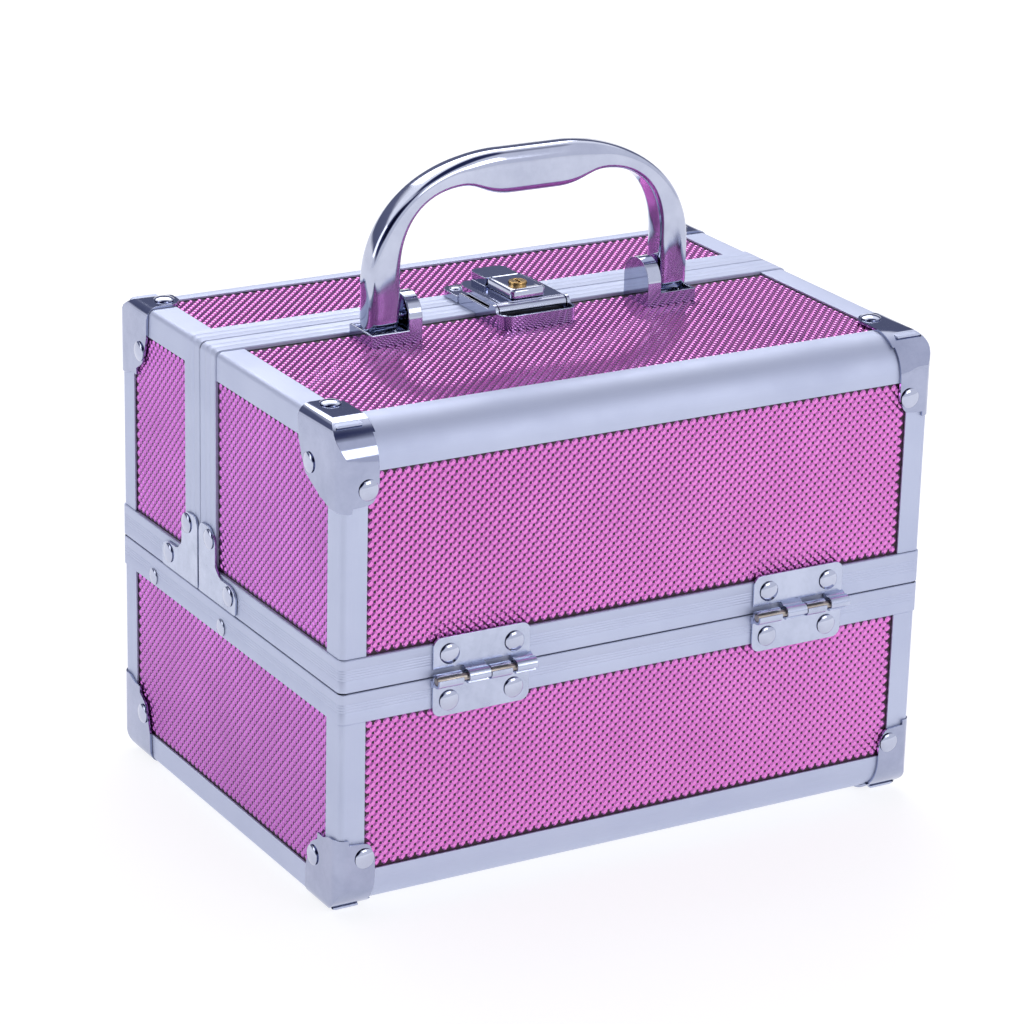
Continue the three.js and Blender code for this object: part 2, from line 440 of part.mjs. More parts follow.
const HASP = { half: 13.4, y1: 24.2, z0: TOP + 5, z1: TOP + 7.2, tabHalf: 6.8 };
const KEY = { y: 4.3, r: 3.2 };
const haspPlate = extrude('z', roundRect(-HASP.half, LATCH.pinY, HASP.half, HASP.y1, [0, 0, 5, 5], 4), HASP.z0, HASP.z1);
const haspKnuckle = latchBar(2.5, HASP.half);
const thumbTab = extrude('z', roundRect(-HASP.tabHalf, 15.2, HASP.tabHalf, 27, [0, 0, 2.5, 2.5], 4),
  HASP.z1 - 0.5, TOP + 10.2);
add('hasp', join(haspPlate, haspKnuckle, thumbTab).subtract(latchBar(1.25, 20))
  .subtract(bar('z', 0, KEY.y, KEY.r + 0.2, HASP.z0 + 0.8, HASP.z1 + 1, 20)), chrome);
const lockTop = TOP + 11;
add('lock_body', extrude('z', roundRect(-7, -4, 7, 15, [2.5, 2.5, 0, 0], 4), HASP.z1 + GAP, lockTop)
  .subtract(bar('z', 0, KEY.y, KEY.r + 0.2, HASP.z0, lockTop + 1, 20)), chrome);
add('key_cylinder', bar('z', 0, KEY.y, KEY.r, HASP.z0 + 0.9, lockTop + 0.4, 20)
  .subtract(box(-0.5, 0.5, KEY.y - 2, KEY.y + 2, lockTop - 1.4, lockTop + 1)), brass);

const keeperPlate = extrude('z', roundRect(-LATCH.half, SPLIT + PARTING + 0.3, LATCH.half, 33, [1, 1, 4, 4], 4),
  railTop, TOP + 3.2);
const keeperRivets = SIDES.map((sx) => rivet(sx * 11, 28.6, TOP + 3.1 - GAP, '+z', 2.4, 1.1));
add('latch_keeper', join(keeperPlate, ...keeperRivets), chrome);

export default trainCase;
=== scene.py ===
# %% [markdown]
# # Makeup train case
# A small box case with pink embossed panels in an aluminium frame. Its top is two lids that fold out,
# each carrying a tray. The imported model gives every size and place, and this file gives it its finish.

# %% Load the frame
import bpy, bmesh, math
from mathutils import Matrix, Vector


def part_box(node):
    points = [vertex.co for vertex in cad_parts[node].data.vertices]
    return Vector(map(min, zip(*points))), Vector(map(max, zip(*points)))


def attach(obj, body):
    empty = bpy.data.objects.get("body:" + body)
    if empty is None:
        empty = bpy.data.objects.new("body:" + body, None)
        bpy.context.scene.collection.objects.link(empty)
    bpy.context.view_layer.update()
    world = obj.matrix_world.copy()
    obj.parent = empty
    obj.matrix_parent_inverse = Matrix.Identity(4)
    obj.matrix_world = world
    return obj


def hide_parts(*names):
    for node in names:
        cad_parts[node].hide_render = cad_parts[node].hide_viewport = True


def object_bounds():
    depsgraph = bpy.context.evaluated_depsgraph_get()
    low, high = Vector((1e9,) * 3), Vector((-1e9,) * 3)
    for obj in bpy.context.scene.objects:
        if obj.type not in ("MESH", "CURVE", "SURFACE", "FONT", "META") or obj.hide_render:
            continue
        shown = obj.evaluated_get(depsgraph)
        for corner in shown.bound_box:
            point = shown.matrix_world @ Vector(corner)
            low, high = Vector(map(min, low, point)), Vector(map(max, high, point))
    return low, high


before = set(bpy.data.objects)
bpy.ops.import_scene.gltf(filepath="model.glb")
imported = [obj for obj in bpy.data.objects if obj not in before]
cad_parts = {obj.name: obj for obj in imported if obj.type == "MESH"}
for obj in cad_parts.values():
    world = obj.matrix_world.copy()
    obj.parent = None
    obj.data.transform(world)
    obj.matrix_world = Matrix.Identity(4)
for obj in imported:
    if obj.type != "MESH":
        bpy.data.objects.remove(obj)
cad_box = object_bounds()
MM = 0.001

# %% [markdown]
# ## Camera
# A long lens from the front left and a little above keeps the box's edges nearly parallel. The camera is
# placed by its turn and tilt about the case, and one small roll, as a hand-held camera has.

# %% Camera
def place_camera(turn, tilt, roll, spot, lens):
    back = Vector((math.sin(turn) * math.cos(tilt), -math.cos(turn) * math.cos(tilt), math.sin(tilt)))
    right = Vector((math.cos(turn), math.sin(turn), 0))
    up = back.cross(right)
    rolled_right = math.cos(roll) * right + math.sin(roll) * up
    rolled_up = -math.sin(roll) * right + math.cos(roll) * up
    data = bpy.data.cameras.new("camera")
    data.lens, data.sensor_width = lens, 36
    data.clip_start, data.clip_end = 0.05, 30
    camera = bpy.data.objects.new("camera", data)
    camera.matrix_world = Matrix((rolled_right, rolled_up, back)).transposed().to_4x4()
    camera.location = spot
    bpy.context.scene.collection.objects.link(camera)
    bpy.context.scene.camera = camera
    return camera

camera = place_camera(turn=-0.532, tilt=0.352, roll=0.025, spot=(-0.6548, -1.1083, 0.5713), lens=135.5)
print("camera at", tuple(round(v, 3) for v in camera.location))

# %% [markdown]
# ## Driving sizes
# The case is a rounded box. Its rails, lids and belt all follow planes that can be read from the packed
# nodes, so the sizes below are measured from them and only sheet thicknesses and radii are stated.

# %% Driving sizes, in millimetres
def box_mm(node):
    low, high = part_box(node)
    return [v / MM for v in low], [v / MM for v in high]

base_low, base_high = box_mm("base_edge_frame")
front_high = box_mm("front_lid_edge_frame")[1]
HALF_L, HALF_W = base_high[0], base_high[1]
FLOOR, TOP = base_low[2], front_high[2]
belt_low, belt_high = box_mm("base_belt_rail")
SEAM = (belt_high[2] + box_mm("front_lid_belt_rail")[0][2]) / 2
centre_low, centre_high = box_mm("front_lid_centre_rail")
SPLIT = (centre_high[1] + box_mm("rear_lid_centre_rail")[0][1]) / 2
PARTING = SPLIT - centre_high[1]
CENTRE = centre_high[1] - centre_low[1]
BELT_LOW, BELT_HIGH = SEAM - belt_low[2], box_mm("front_lid_belt_rail")[1][2] - SEAM
RAIL, PROUD, GAP, CAP = 0.8, 0.5, 0.1, 0.9
EDGE_R, POST_R, LINER_IN = 14, 2.2, 5.6
EDGE_SIDE, EDGE_FLAT, END_RAIL, POST_LONG, POST_END = 14.9, 16, 10, 9.4, 10
SIDES = (-1, 1)
ROW_NAME, SIDE_NAME = {-1: "front", 1: "rear"}, {-1: "left", 1: "right"}
print("half length", round(HALF_L, 1), "half width", round(HALF_W, 1))
print("seam", round(SEAM, 2), "split", round(SPLIT, 2))

# %% [markdown]
# ## Shader groups
# Two effects are shared, so each is a node group that is built once. Brushing is fine noise stretched along
# a rail. Handling marks are faint smudges that change the gloss and, as a mask, the tint.

# %% Shader groups
def add_inputs(tree, inputs):
    for label, kind, value in inputs:
        socket = tree.interface.new_socket(label, in_out="INPUT", socket_type="NodeSocket" + kind)
        if value is not None:
            socket.default_value = value

def new_group(name, inputs, outputs):
    tree = bpy.data.node_groups.new(name, "ShaderNodeTree")
    add_inputs(tree, inputs)
    for label, kind in outputs:
        tree.interface.new_socket(label, in_out="OUTPUT", socket_type="NodeSocket" + kind)
    return tree, tree.nodes.new("NodeGroupInput"), tree.nodes.new("NodeGroupOutput")

def add_node(tree, kind, sockets, **settings):
    """Adds a node with its settings, and gives each socket, by name or number, a link or a value."""
    node = tree.nodes.new(kind)
    for name, value in settings.items():
        setattr(node, name, value)
    for label, value in sockets.items():
        if hasattr(value, "links"):
            tree.links.new(value, node.inputs[label])
        else:
            node.inputs[label].default_value = value
    return node

def math_node(tree, operation, *values):
    return add_node(tree, "ShaderNodeMath", dict(enumerate(values)), operation=operation).outputs[0]

def multiply(tree, a, b):
    return add_node(tree, "ShaderNodeVectorMath", {0: a, 1: b}, operation="MULTIPLY").outputs[0]

def brushing_group():
    tree, inside, outside = new_group("brushing",
        [("Vector", "Vector", None), ("Across", "Float", 9000.0), ("Along", "Float", 60.0)],
        [("Height", "Float")])
    given = inside.outputs
    scale = add_node(tree, "ShaderNodeCombineXYZ", {0: given["Across"], 1: given["Along"]})
    stretched = multiply(tree, given["Vector"], scale.outputs[0])
    noise = add_node(tree, "ShaderNodeTexNoise", {"Vector": stretched, "Scale": 1, "Detail": 3})
    tree.links.new(noise.outputs["Fac"], outside.inputs["Height"])
    return tree

def smudge_group():
    tree, inside, outside = new_group("smudges",
        [("Vector", "Vector", None), ("Size", "Float", 45.0), ("Low", "Float", 0.05),
         ("High", "Float", 0.12)],
        [("Roughness", "Float"), ("Mask", "Float")])
    given = inside.outputs
    noise = add_node(tree, "ShaderNodeTexNoise", {"Vector": given["Vector"], "Scale": given["Size"],
                                                  "Detail": 6, "Roughness": 0.65})
    ramp = add_node(tree, "ShaderNodeMapRange", {"Value": noise.outputs["Fac"], "From Min": 0.35,
                                                 "From Max": 0.7})
    span = math_node(tree, "SUBTRACT", given["High"], given["Low"])
    rough = math_node(tree, "ADD", given["Low"], math_node(tree, "MULTIPLY", span, ramp.outputs[0]))
    tree.links.new(rough, outside.inputs["Roughness"])
    tree.links.new(ramp.outputs[0], outside.inputs["Mask"])
    return tree

BRUSHING, SMUDGES = brushing_group(), smudge_group()
print("shader groups:", [g.name for g in bpy.data.node_groups])

# %% [markdown]
# ## Materials
# Each finish is one Principled material with its own detail: satin aluminium is drawn along its length,
# chrome carries faint smudges, the pink facing is a lacquered foil, and the plastics have a fine grain.

# %% Material helpers
def new_material(name, colour, roughness, metallic=0.0, **extra):
    material = bpy.data.materials.new(name)
    material.use_nodes = True
    tree = material.node_tree
    shader = tree.nodes["Principled BSDF"]
    shader.inputs["Base Color"].default_value = (*colour, 1)
    shader.inputs["Roughness"].default_value = roughness
    shader.inputs["Metallic"].default_value = metallic
    for label, value in extra.items():
        shader.inputs[label.replace("_", " ")].default_value = value
    return material, tree, shader

def use_group(tree, group, **values):
    return add_node(tree, "ShaderNodeGroup", values, node_tree=group)

def coordinates(tree, kind="Object"):
    return tree.nodes.new("ShaderNodeTexCoord").outputs[kind]

def bump(tree, shader, height, distance, strength=1.0):
    node = add_node(tree, "ShaderNodeBump", {"Height": height, "Distance": distance, "Strength": strength})
    tree.links.new(node.outputs[0], shader.inputs["Normal"])

def tint(tree, shader, mask, low, high):
    mix = add_node(tree, "ShaderNodeMix", {"Factor": mask, "A": (*low, 1), "B": (*high, 1)}, data_type="RGBA")
    tree.links.new(mix.outputs["Result"], shader.inputs["Base Color"])

# %% Metals
def smudged(name, light, dark, size, gloss, metallic=1.0, **extra):
    """A finish whose gloss, and tint where dark is given, follow faint handling marks."""
    material, tree, shader = new_material(name, light, gloss[0], metallic, **extra)
    marks = use_group(tree, SMUDGES, Vector=coordinates(tree), Size=size, Low=gloss[0], High=gloss[1])
    tree.links.new(marks.outputs["Roughness"], shader.inputs["Roughness"])
    if dark:
        tint(tree, shader, marks.outputs["Mask"], light, dark)
    return material

def brush(material, vector, depth, strength, **scale):
    """Adds drawn lines to a finish, and returns their height for use as a mask."""
    tree = material.node_tree
    height = use_group(tree, BRUSHING, Vector=vector, **scale).outputs["Height"]
    bump(tree, tree.nodes["Principled BSDF"], height, depth, strength)
    return height

def satin_aluminium():
    material = smudged("satin_aluminium", (0.55, 0.59, 0.74), None, 30.0, (0.55, 0.66))
    tree = material.node_tree
    height = brush(material, coordinates(tree, "UV"), 0.00003, 0.5)
    tint(tree, tree.nodes["Principled BSDF"], height, (0.52, 0.56, 0.71), (0.58, 0.62, 0.77))
    return material

def satin_plate():
    material = smudged("satin_plate", (0.54, 0.58, 0.73), (0.44, 0.48, 0.62), 90.0, (0.16, 0.3))
    brush(material, coordinates(material.node_tree), 0.00002, 0.4, Across=400.0, Along=2500.0)
    return material

ALUMINIUM, PLATE = satin_aluminium(), satin_plate()
CHROME = smudged("bright_chrome", (0.55, 0.58, 0.71), (0.46, 0.49, 0.62), 70.0, (0.045, 0.13))
# the caps' chrome is a darker copy of the bright chrome: painted shade on the corner caps
CAP_CHROME_PAINTED_SHADE = smudged("cap_chrome_painted_shade", (0.42, 0.45, 0.60), (0.34, 0.37, 0.51), 70.0, (0.045, 0.13))
ZINC = smudged("zinc_steel", (0.46, 0.41, 0.37), (0.32, 0.27, 0.23), 120.0, (0.25, 0.5))
# near-black steel for the latch spring; filling the latch's dish, its black is also painted shade for the
# dish's dark inside
SPRING_STEEL_AND_SHADE = smudged("spring_steel_and_painted_shade", (0.015, 0.015, 0.018), (0.04, 0.036, 0.034), 200.0,
                      (0.25, 0.45), 0.7)
BRASS = smudged("key_brass", (0.78, 0.52, 0.20), (0.56, 0.34, 0.12), 300.0, (0.15, 0.35))
print("metals ready")

# %% Foil, plastic, foam and glass
def pink_foil(name, colour, deep, gloss=(0.18, 0.28)):
    return smudged(name, colour, deep, 25.0, gloss, 0.85, Coat_Weight=0.45, Coat_Roughness=0.1)

def grained(name, colour, roughness, size, depth):
    material, tree, shader = new_material(name, colour, roughness)
    noise = add_node(tree, "ShaderNodeTexNoise", {"Vector": coordinates(tree), "Scale": size, "Detail": 4})
    bump(tree, shader, noise.outputs["Fac"], depth)
    tint(tree, shader, noise.outputs["Fac"], colour, tuple(min(1, 1.8 * c + 0.004) for c in colour))
    return material

PINK = pink_foil("pink_foil", (0.83, 0.24, 0.71), (0.76, 0.21, 0.65))
# the lid tops' foil is a darker copy of the same pink: painted shade on the tops
PINK_TOP_PAINTED_SHADE = pink_foil("pink_foil_top_painted_shade", (0.70, 0.18, 0.60), (0.64, 0.16, 0.55), (0.11, 0.17))
# the ends' foil is a darker, bluer copy of the same pink: painted shade and painted bluish side light on the
# end panels
PINK_END_PAINTED_SHADE = pink_foil("pink_foil_end_painted_shade", (0.48, 0.125, 0.50), (0.44, 0.11, 0.46))

# near-black panel sheet under the embossing: painted shade in the pits between press marks and along the
# ragged borders
PANEL_PAINTED_SHADE = grained("panel_painted_shade", (0.018, 0.002, 0.012), 0.6, 900, 0.00003)
BLACK_PLASTIC = grained("black_plastic", (0.02, 0.02, 0.022), 0.45, 2500, 0.00004)
BLACK_BOARD = grained("black_board", (0.03, 0.03, 0.032), 0.7, 1500, 0.00006)
FOAM = grained("black_foam", (0.025, 0.025, 0.028), 0.92, 4000, 0.00012)
MIRROR = smudged("mirror_glass", (0.93, 0.95, 0.96), None, 20.0, (0.01, 0.04))
print("materials:", len(bpy.data.materials))

# %% [markdown]
# ## Mesh helpers
# Nearly every fitting is a shape pushed along an axis, or a profile carried along a path. Both helpers
# return plain lists of points and faces, so several can be joined into one piece.

# %% Mesh helpers
MERGE_GAP = 1e-7
def solid_mesh(name, parts, merge):
    """One mesh from parts of (points, faces) in millimetres, with its faces turned outwards."""
    verts, faces = [], []
    for part_verts, part_faces in parts:
        faces += [tuple(i + len(verts) for i in face) for face in part_faces]
        verts += part_verts
    mesh = bpy.data.meshes.new(name)
    mesh.from_pydata([(x * MM, y * MM, z * MM) for x, y, z in verts], [], faces)
    tidy = bmesh.new()
    tidy.from_mesh(mesh)
    if merge:
        bmesh.ops.remove_doubles(tidy, verts=tidy.verts, dist=MERGE_GAP)
    bmesh.ops.recalc_face_normals(tidy, faces=tidy.faces)
    tidy.to_mesh(mesh)
    tidy.free()
    return mesh

def make_piece(name, parts, material, body, slot, **finish):
    piece = bpy.data.objects.new(name, solid_mesh(name, parts, True))
    return finish_piece(piece, material, body, slot, **finish)

def finish_piece(piece, material, body, slot, bevel=0.0, segments=2, angle=38, smooth=35):
    mesh = piece.data
    mesh.materials.clear()
    mesh.materials.append(material)
    mesh.polygons.foreach_set("use_smooth", [True] * len(mesh.polygons))
    mesh.set_sharp_from_angle(angle=math.radians(smooth))
    if piece.name not in bpy.context.scene.collection.objects:
        bpy.context.scene.collection.objects.link(piece)
    if bevel:
        edge = piece.modifiers.new("edge", "BEVEL")
        edge.width, edge.segments = bevel * MM, segments
        edge.limit_method, edge.angle_limit = "ANGLE", math.radians(angle)
        edge.harden_normals = True
    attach(piece, body)
    return piece

def ring_faces(rings, size, closed=False):
    """The side faces between neighbouring rings of points."""
    faces = []
    for i in range(rings if closed else rings - 1):
        a, b = i * size, (i + 1) % rings * size
        faces += [(a + k, a + (k + 1) % size, b + (k + 1) % size, b + k) for k in range(size)]
    return faces

def prism(axis, outline, start, end):
    """An outline pushed along an axis from start to end."""
    place = {"x": lambda a, b, c: (c, a, b), "y": lambda a, b, c: (a, c, b),
             "z": lambda a, b, c: (a, b, c)}[axis]
    count = len(outline)
    verts = [place(a, b, c) for c in (start, end) for a, b in outline]
    return verts, [tuple(range(count)), tuple(range(count, 2 * count))] + ring_faces(2, count)

def arc(cx, cy, r, start, end, steps):
    return [(cx + r * math.cos(math.radians(start + (end - start) * i / steps)),
             cy + r * math.sin(math.radians(start + (end - start) * i / steps))) for i in range(steps + 1)]

def round_rect(x0, y0, x1, y1, r, steps=6):
    radii = r if isinstance(r, (list, tuple)) else [r] * 4      # from the low corner, anticlockwise
    corners = [(x0, y0, 1, 1, 180), (x1, y0, -1, 1, 270), (x1, y1, -1, -1, 0), (x0, y1, 1, -1, 90)]
    points = []
    for (x, y, sx, sy, start), radius in zip(corners, radii):
        curve = arc(x + sx * radius, y + sy * radius, radius, start, start + 90, steps)
        points += curve if radius > 0.05 else [(x, y)]
    return points

def rounded(outline, r, steps=4):
    """An outline with its corners rounded by r, or by its own radius where a point has a third value."""
    points, count = [], len(outline)
    for i, point in enumerate(outline):
        here = Vector(point[:2])
        before, after = Vector(outline[i - 1][:2]), Vector(outline[(i + 1) % count][:2])
        radius = point[2] if len(point) > 2 else r
        a, b = (before - here).normalized(), (after - here).normalized()
        half = a.angle(b) / 2
        cut = min(radius / math.tan(half), 0.49 * (before - here).length, 0.49 * (after - here).length)
        if cut < 0.02:
            points.append(tuple(here))
            continue
        start, end = here + a * cut, here + b * cut
        for k in range(steps + 1):
            t = k / steps
            points.append(tuple((1 - t) ** 2 * start + 2 * t * (1 - t) * here + t ** 2 * end))
    return points

def sweep(profile, stations, closed=False):
    """Carries a closed profile of (out, side) points along stations of (place, out vector, side vector)."""
    size, verts = len(profile), []
    for place, out, side in stations:
        verts += [tuple(place + out * u + side * v) for u, v in profile]
    rings = len(stations)
    faces = ring_faces(rings, size, closed)
    if not closed:
        faces += [tuple(range(size)), tuple(range((rings - 1) * size, rings * size))]
    return verts, faces

def add_uv(piece, axis, straight=True):
    """Gives a rail a UV map in metres. A straight rail's length follows the axis, a bent one's the others."""
    layer = piece.data.uv_layers.new(name="along_rail")
    for loop in piece.data.loops:
        spot = piece.data.vertices[loop.vertex_index].co
        one, rest = spot[axis], sum(spot[i] for i in range(3) if i != axis)
        layer.data[loop.index].uv = (rest, one) if straight else (one, rest)
    return piece

# %% [markdown]
# ## Embossed panels
# The facing is a foil pressed into rows of small diamonds. Modelling each by hand would be hopeless, and a
# bump map would lose the glints, so Geometry Nodes set one low press mark on every point of two interleaved
# grids. Only whole diamonds are set, which leaves the ragged border that the real sheet has; the near-black
# panel beneath, seen there and in the pits between marks, is painted shade.

# %% One press mark
def press_mark(cut=0.26, shoulder=0.5):
    """A low diamond, one unit across, with its points cut off so that a pit is left between marks."""
    ring, corners = [], ((0.5, 0), (0, 0.5), (-0.5, 0), (0, -0.5))
    for x, y in corners:
        inset = Vector((x, y)) * (1 - cut)
        across = Vector((-y, x)) * cut
        ring += [inset - across, inset + across]
    verts = [(p.x, p.y, -0.5) for p in ring]
    verts += [(x * shoulder, y * shoulder, 0.28) for x, y in corners] + [(0, 0, 0.5)]
    faces = [tuple(reversed(range(8)))]
    for k in range(4):
        a, b, c = 2 * k, 2 * k + 1, (2 * k + 2) % 8
        faces += [(a, b, 8 + k), (b, c, 8 + (k + 1) % 4, 8 + k), (8 + k, 8 + (k + 1) % 4, 12)]
    mesh = bpy.data.meshes.new("press_mark")
    mesh.from_pydata(verts, [], faces)
    mark = bpy.data.objects.new("press_mark", mesh)
    bpy.context.scene.collection.objects.link(mark)
    return mark

PRESS_MARK = press_mark()

# %% Geometry Nodes tree for the embossing
def start_tree(name, inputs):
    """A Geometry Nodes tree with named inputs, and its two end nodes."""
    tree = bpy.data.node_groups.new(name, "GeometryNodeTree")
    add_inputs(tree, inputs)
    tree.interface.new_socket("Geometry", in_out="OUTPUT", socket_type="NodeSocketGeometry")
    return tree, tree.nodes.new("NodeGroupInput"), tree.nodes.new("NodeGroupOutput")

def end_tree(tree, geometry, inside, outside):
    """Ends a tree with Set Material."""
    painted = add_node(tree, "GeometryNodeSetMaterial",
                       {"Geometry": geometry, "Material": inside.outputs["Material"]})
    tree.links.new(painted.outputs[0], outside.inputs[0])
    return tree

def emboss_tree():
    tree, inside, outside = start_tree("diamond_emboss",
        (("Geometry", "Geometry", None), ("Mark", "Object", None), ("Width", "Float", 0.2),
         ("Height", "Float", 0.1), ("Cell Width", "Float", 0.0033), ("Cell Height", "Float", 0.0034),
         ("Relief", "Float", 0.0005), ("Centre", "Vector", None), ("Turn", "Rotation", None),
         ("Material", "Material", None)))
    given, link = inside.outputs, tree.links.new

    def grid(shorter):
        node = tree.nodes.new("GeometryNodeMeshGrid")
        for axis, size, cell in (("X", "Width", "Cell Width"), ("Y", "Height", "Cell Height")):
            cells = math_node(tree, "FLOOR", math_node(tree, "DIVIDE", given[size], given[cell]))
            points = math_node(tree, "SUBTRACT", cells, shorter)
            link(points, node.inputs["Vertices " + axis])
            steps = math_node(tree, "SUBTRACT", points, 1)
            link(math_node(tree, "MULTIPLY", steps, given[cell]), node.inputs["Size " + axis])
        return node.outputs["Mesh"]

    both = tree.nodes.new("GeometryNodeJoinGeometry")
    for shorter in (0, 1):
        link(grid(shorter), both.inputs[0])
    mark = add_node(tree, "GeometryNodeObjectInfo", {"Object": given["Mark"]})
    size = add_node(tree, "ShaderNodeCombineXYZ", {0: given["Cell Width"], 1: given["Cell Height"],
                                                   2: given["Relief"]})
    instances = add_node(tree, "GeometryNodeInstanceOnPoints",
                         {"Points": both.outputs[0], "Instance": mark.outputs["Geometry"],
                          "Scale": size.outputs[0]})
    real = add_node(tree, "GeometryNodeRealizeInstances", {0: instances.outputs[0]})
    move = add_node(tree, "GeometryNodeTransform", {"Geometry": real.outputs[0],
                                                    "Translation": given["Centre"], "Rotation": given["Turn"]})
    return end_tree(tree, move.outputs[0], inside, outside)

EMBOSS = emboss_tree()

def run_tree(name, tree, mesh, **values):
    """Runs a Geometry Nodes tree on a mesh and returns the result as a plain mesh object."""
    carrier = bpy.data.objects.new(name, mesh)
    bpy.context.scene.collection.objects.link(carrier)
    modifier = carrier.modifiers.new("tree", "NODES")
    modifier.node_group = tree
    inputs = [s for s in tree.interface.items_tree if s.item_type == "SOCKET" and s.in_out == "INPUT"]
    sockets = {s.name: s.identifier for s in inputs}
    for label, value in values.items():
        modifier[sockets[label.replace("_", " ")]] = value
    evaluated = carrier.evaluated_get(bpy.context.evaluated_depsgraph_get())
    result = bpy.data.meshes.new_from_object(evaluated)
    carrier.modifiers.remove(modifier)
    carrier.data = result
    return carrier

# %% Emboss every pink window
FACE_DEPTH = RAIL + GAP                   # panel face below the rail surface
RELIEF = 0.5
CELL = (3.3, 3.4)
def emboss(name, body, size, centre, turn, foil):
    cells = [length / round(length / cell) for length, cell in zip(size, CELL)]
    width, height = (length * MM + 1e-6 for length in size)
    piece = run_tree(name, EMBOSS, bpy.data.meshes.new(name), Mark=PRESS_MARK, Width=width, Height=height,
                     Cell_Width=cells[0] * MM, Cell_Height=cells[1] * MM, Relief=RELIEF * MM,
                     Centre=tuple(c * MM for c in centre), Turn=turn, Material=foil)
    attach(piece, body)
    print(name, len(piece.data.polygons), "faces")
    return piece

lift = FACE_DEPTH - RELIEF / 2
belt_bottom, belt_top = SEAM - BELT_LOW, SEAM + BELT_HIGH
long_x = 2 * (HALF_L - POST_LONG)
flat_x = 2 * (HALF_L - END_RAIL - 0.5)
right_angle = math.pi / 2
UPRIGHT = {-1: (right_angle, 0, 0), 1: (right_angle, 0, math.pi)}
def window(low, high):
    return high - low, (low + high) / 2

for sy in SIDES:
    lid = ROW_NAME[sy] + "_lid"
    rows = ((lid, belt_top, TOP - EDGE_SIDE), ("base", FLOOR + EDGE_SIDE + 0.6, belt_bottom))
    for body, z0, z1 in rows:
        height, middle = window(z0, z1)
        emboss(f"{body}_{ROW_NAME[sy]}_embossing", body, (long_x, height),
               (0, sy * (HALF_W - lift), middle), UPRIGHT[sy], PINK)
    near = SPLIT + sy * (PARTING + CENTRE + 1.2)
    depth, middle = window(*sorted((near, sy * (HALF_W - EDGE_FLAT))))
    emboss(f"{lid}_top_embossing", lid, (flat_x, depth), (0, middle, TOP - lift), (0, 0, 0), PINK_TOP_PAINTED_SHADE)
for sx in SIDES:
    turn = (right_angle, 0, sx * right_angle)
    height, middle = window(FLOOR + END_RAIL, belt_bottom)
    emboss(f"base_end_embossing_{SIDE_NAME[sx]}", "base", (2 * (HALF_W - POST_END), height),
           (sx * (HALF_L - lift), 0, middle), turn, PINK_END_PAINTED_SHADE)
    for sy in SIDES:
        lid = ROW_NAME[sy] + "_lid"
        depth, across = window(*sorted((SPLIT + sy * (PARTING + CENTRE), sy * (HALF_W - POST_END))))
        height, middle = window(belt_top, TOP - END_RAIL)
        emboss(f"{lid}_end_embossing_{SIDE_NAME[sx]}", lid, (depth, height),
               (sx * (HALF_L - lift), across, middle), turn, PINK_END_PAINTED_SHADE)

bpy.data.objects.remove(PRESS_MARK)

# %% [markdown]
# ## Aluminium rails
# The frame is drawn aluminium. Posts and end rails are angle sections with a small outer radius, the long
# edges are quarter rounds, and the belt and centre rails carry a row of fine grooves. Each is a profile
# carried along its path, so the grooves bend round the corners as rolled ones do.

# %% Straight rails
def angle_profile(cx, cy, sx, sy, reach_x, reach_y):
    """An angle section whose outer corner is (cx, cy) and whose legs run inwards, against sx and sy."""
    outer = [(reach_x, 0)] + arc(POST_R, POST_R, POST_R, 270, 180, 6) + [(0, reach_y)]
    inner = [(RAIL, reach_y), (RAIL, RAIL), (reach_x, RAIL)]
    return [(cx - sx * u, cy - sy * v) for u, v in outer + inner]

def straight_rail(name, body, axis, profile, start, end, bevel=0.15):
    bar = prism(axis, profile, start, end)
    piece = make_piece(name, [bar], ALUMINIUM, body, "aluminium_rail", bevel=bevel)
    return add_uv(piece, "xyz".index(axis))

def post(body, sx, sy, z0, z1):
    profile = angle_profile(sx * HALF_L, sy * HALF_W, sx, sy, POST_LONG, POST_END)
    return straight_rail(f"{body}_post_{ROW_NAME[sy]}_{SIDE_NAME[sx]}", body, "z", profile, z0, z1)

def end_rail(body, sx, sz, y0, y1):
    profile = angle_profile(sx * HALF_L, TOP if sz > 0 else FLOOR, sx, sz, END_RAIL + 0.5, END_RAIL)
    return straight_rail(f"{body}_end_rail_{SIDE_NAME[sx]}", body, "y", profile, y0, y1)

WALL = 4.4                                # thickness of the long rail at its rounded corner
def long_rail(body, sy, sz):
    side = EDGE_SIDE if sz > 0 else EDGE_SIDE + 0.6
    outer = [(0, side), (0, EDGE_R)] + arc(EDGE_R, EDGE_R, EDGE_R, 180, 270, 20)[1:] + [(EDGE_FLAT, 0)]
    inner = [(EDGE_FLAT, RAIL), (EDGE_R, RAIL), (EDGE_R, WALL)]
    inner += arc(EDGE_R, EDGE_R, EDGE_R - WALL, 270, 180, 8)[1:] + [(RAIL, EDGE_R), (RAIL, side)]
    edge_z = TOP if sz > 0 else FLOOR
    profile = [(sy * (HALF_W - u), edge_z - sz * v) for u, v in outer + inner]
    reach = HALF_L - 3
    return straight_rail(f"{body}_{ROW_NAME[sy]}_long_rail", body, "x", profile, -reach, reach, 0.12)

for sy in SIDES:
    lid = ROW_NAME[sy] + "_lid"
    long_rail(lid, sy, 1)
    long_rail("base", sy, -1)
    y_range = sorted((SPLIT + sy * (PARTING + CENTRE + GAP), sy * (HALF_W - 6)))
    for sx in SIDES:
        post(lid, sx, sy, belt_top + GAP, TOP - 12)
        post("base", sx, sy, FLOOR + 12, belt_bottom - GAP)
        end_rail(lid, sx, 1, *y_range)
for sx in SIDES:
    end_rail("base", sx, -1, -HALF_W + 6, HALF_W - 6)
for node in ("base", "front_lid", "rear_lid"):
    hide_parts(f"{node}_edge_frame")
print("straight rails made")

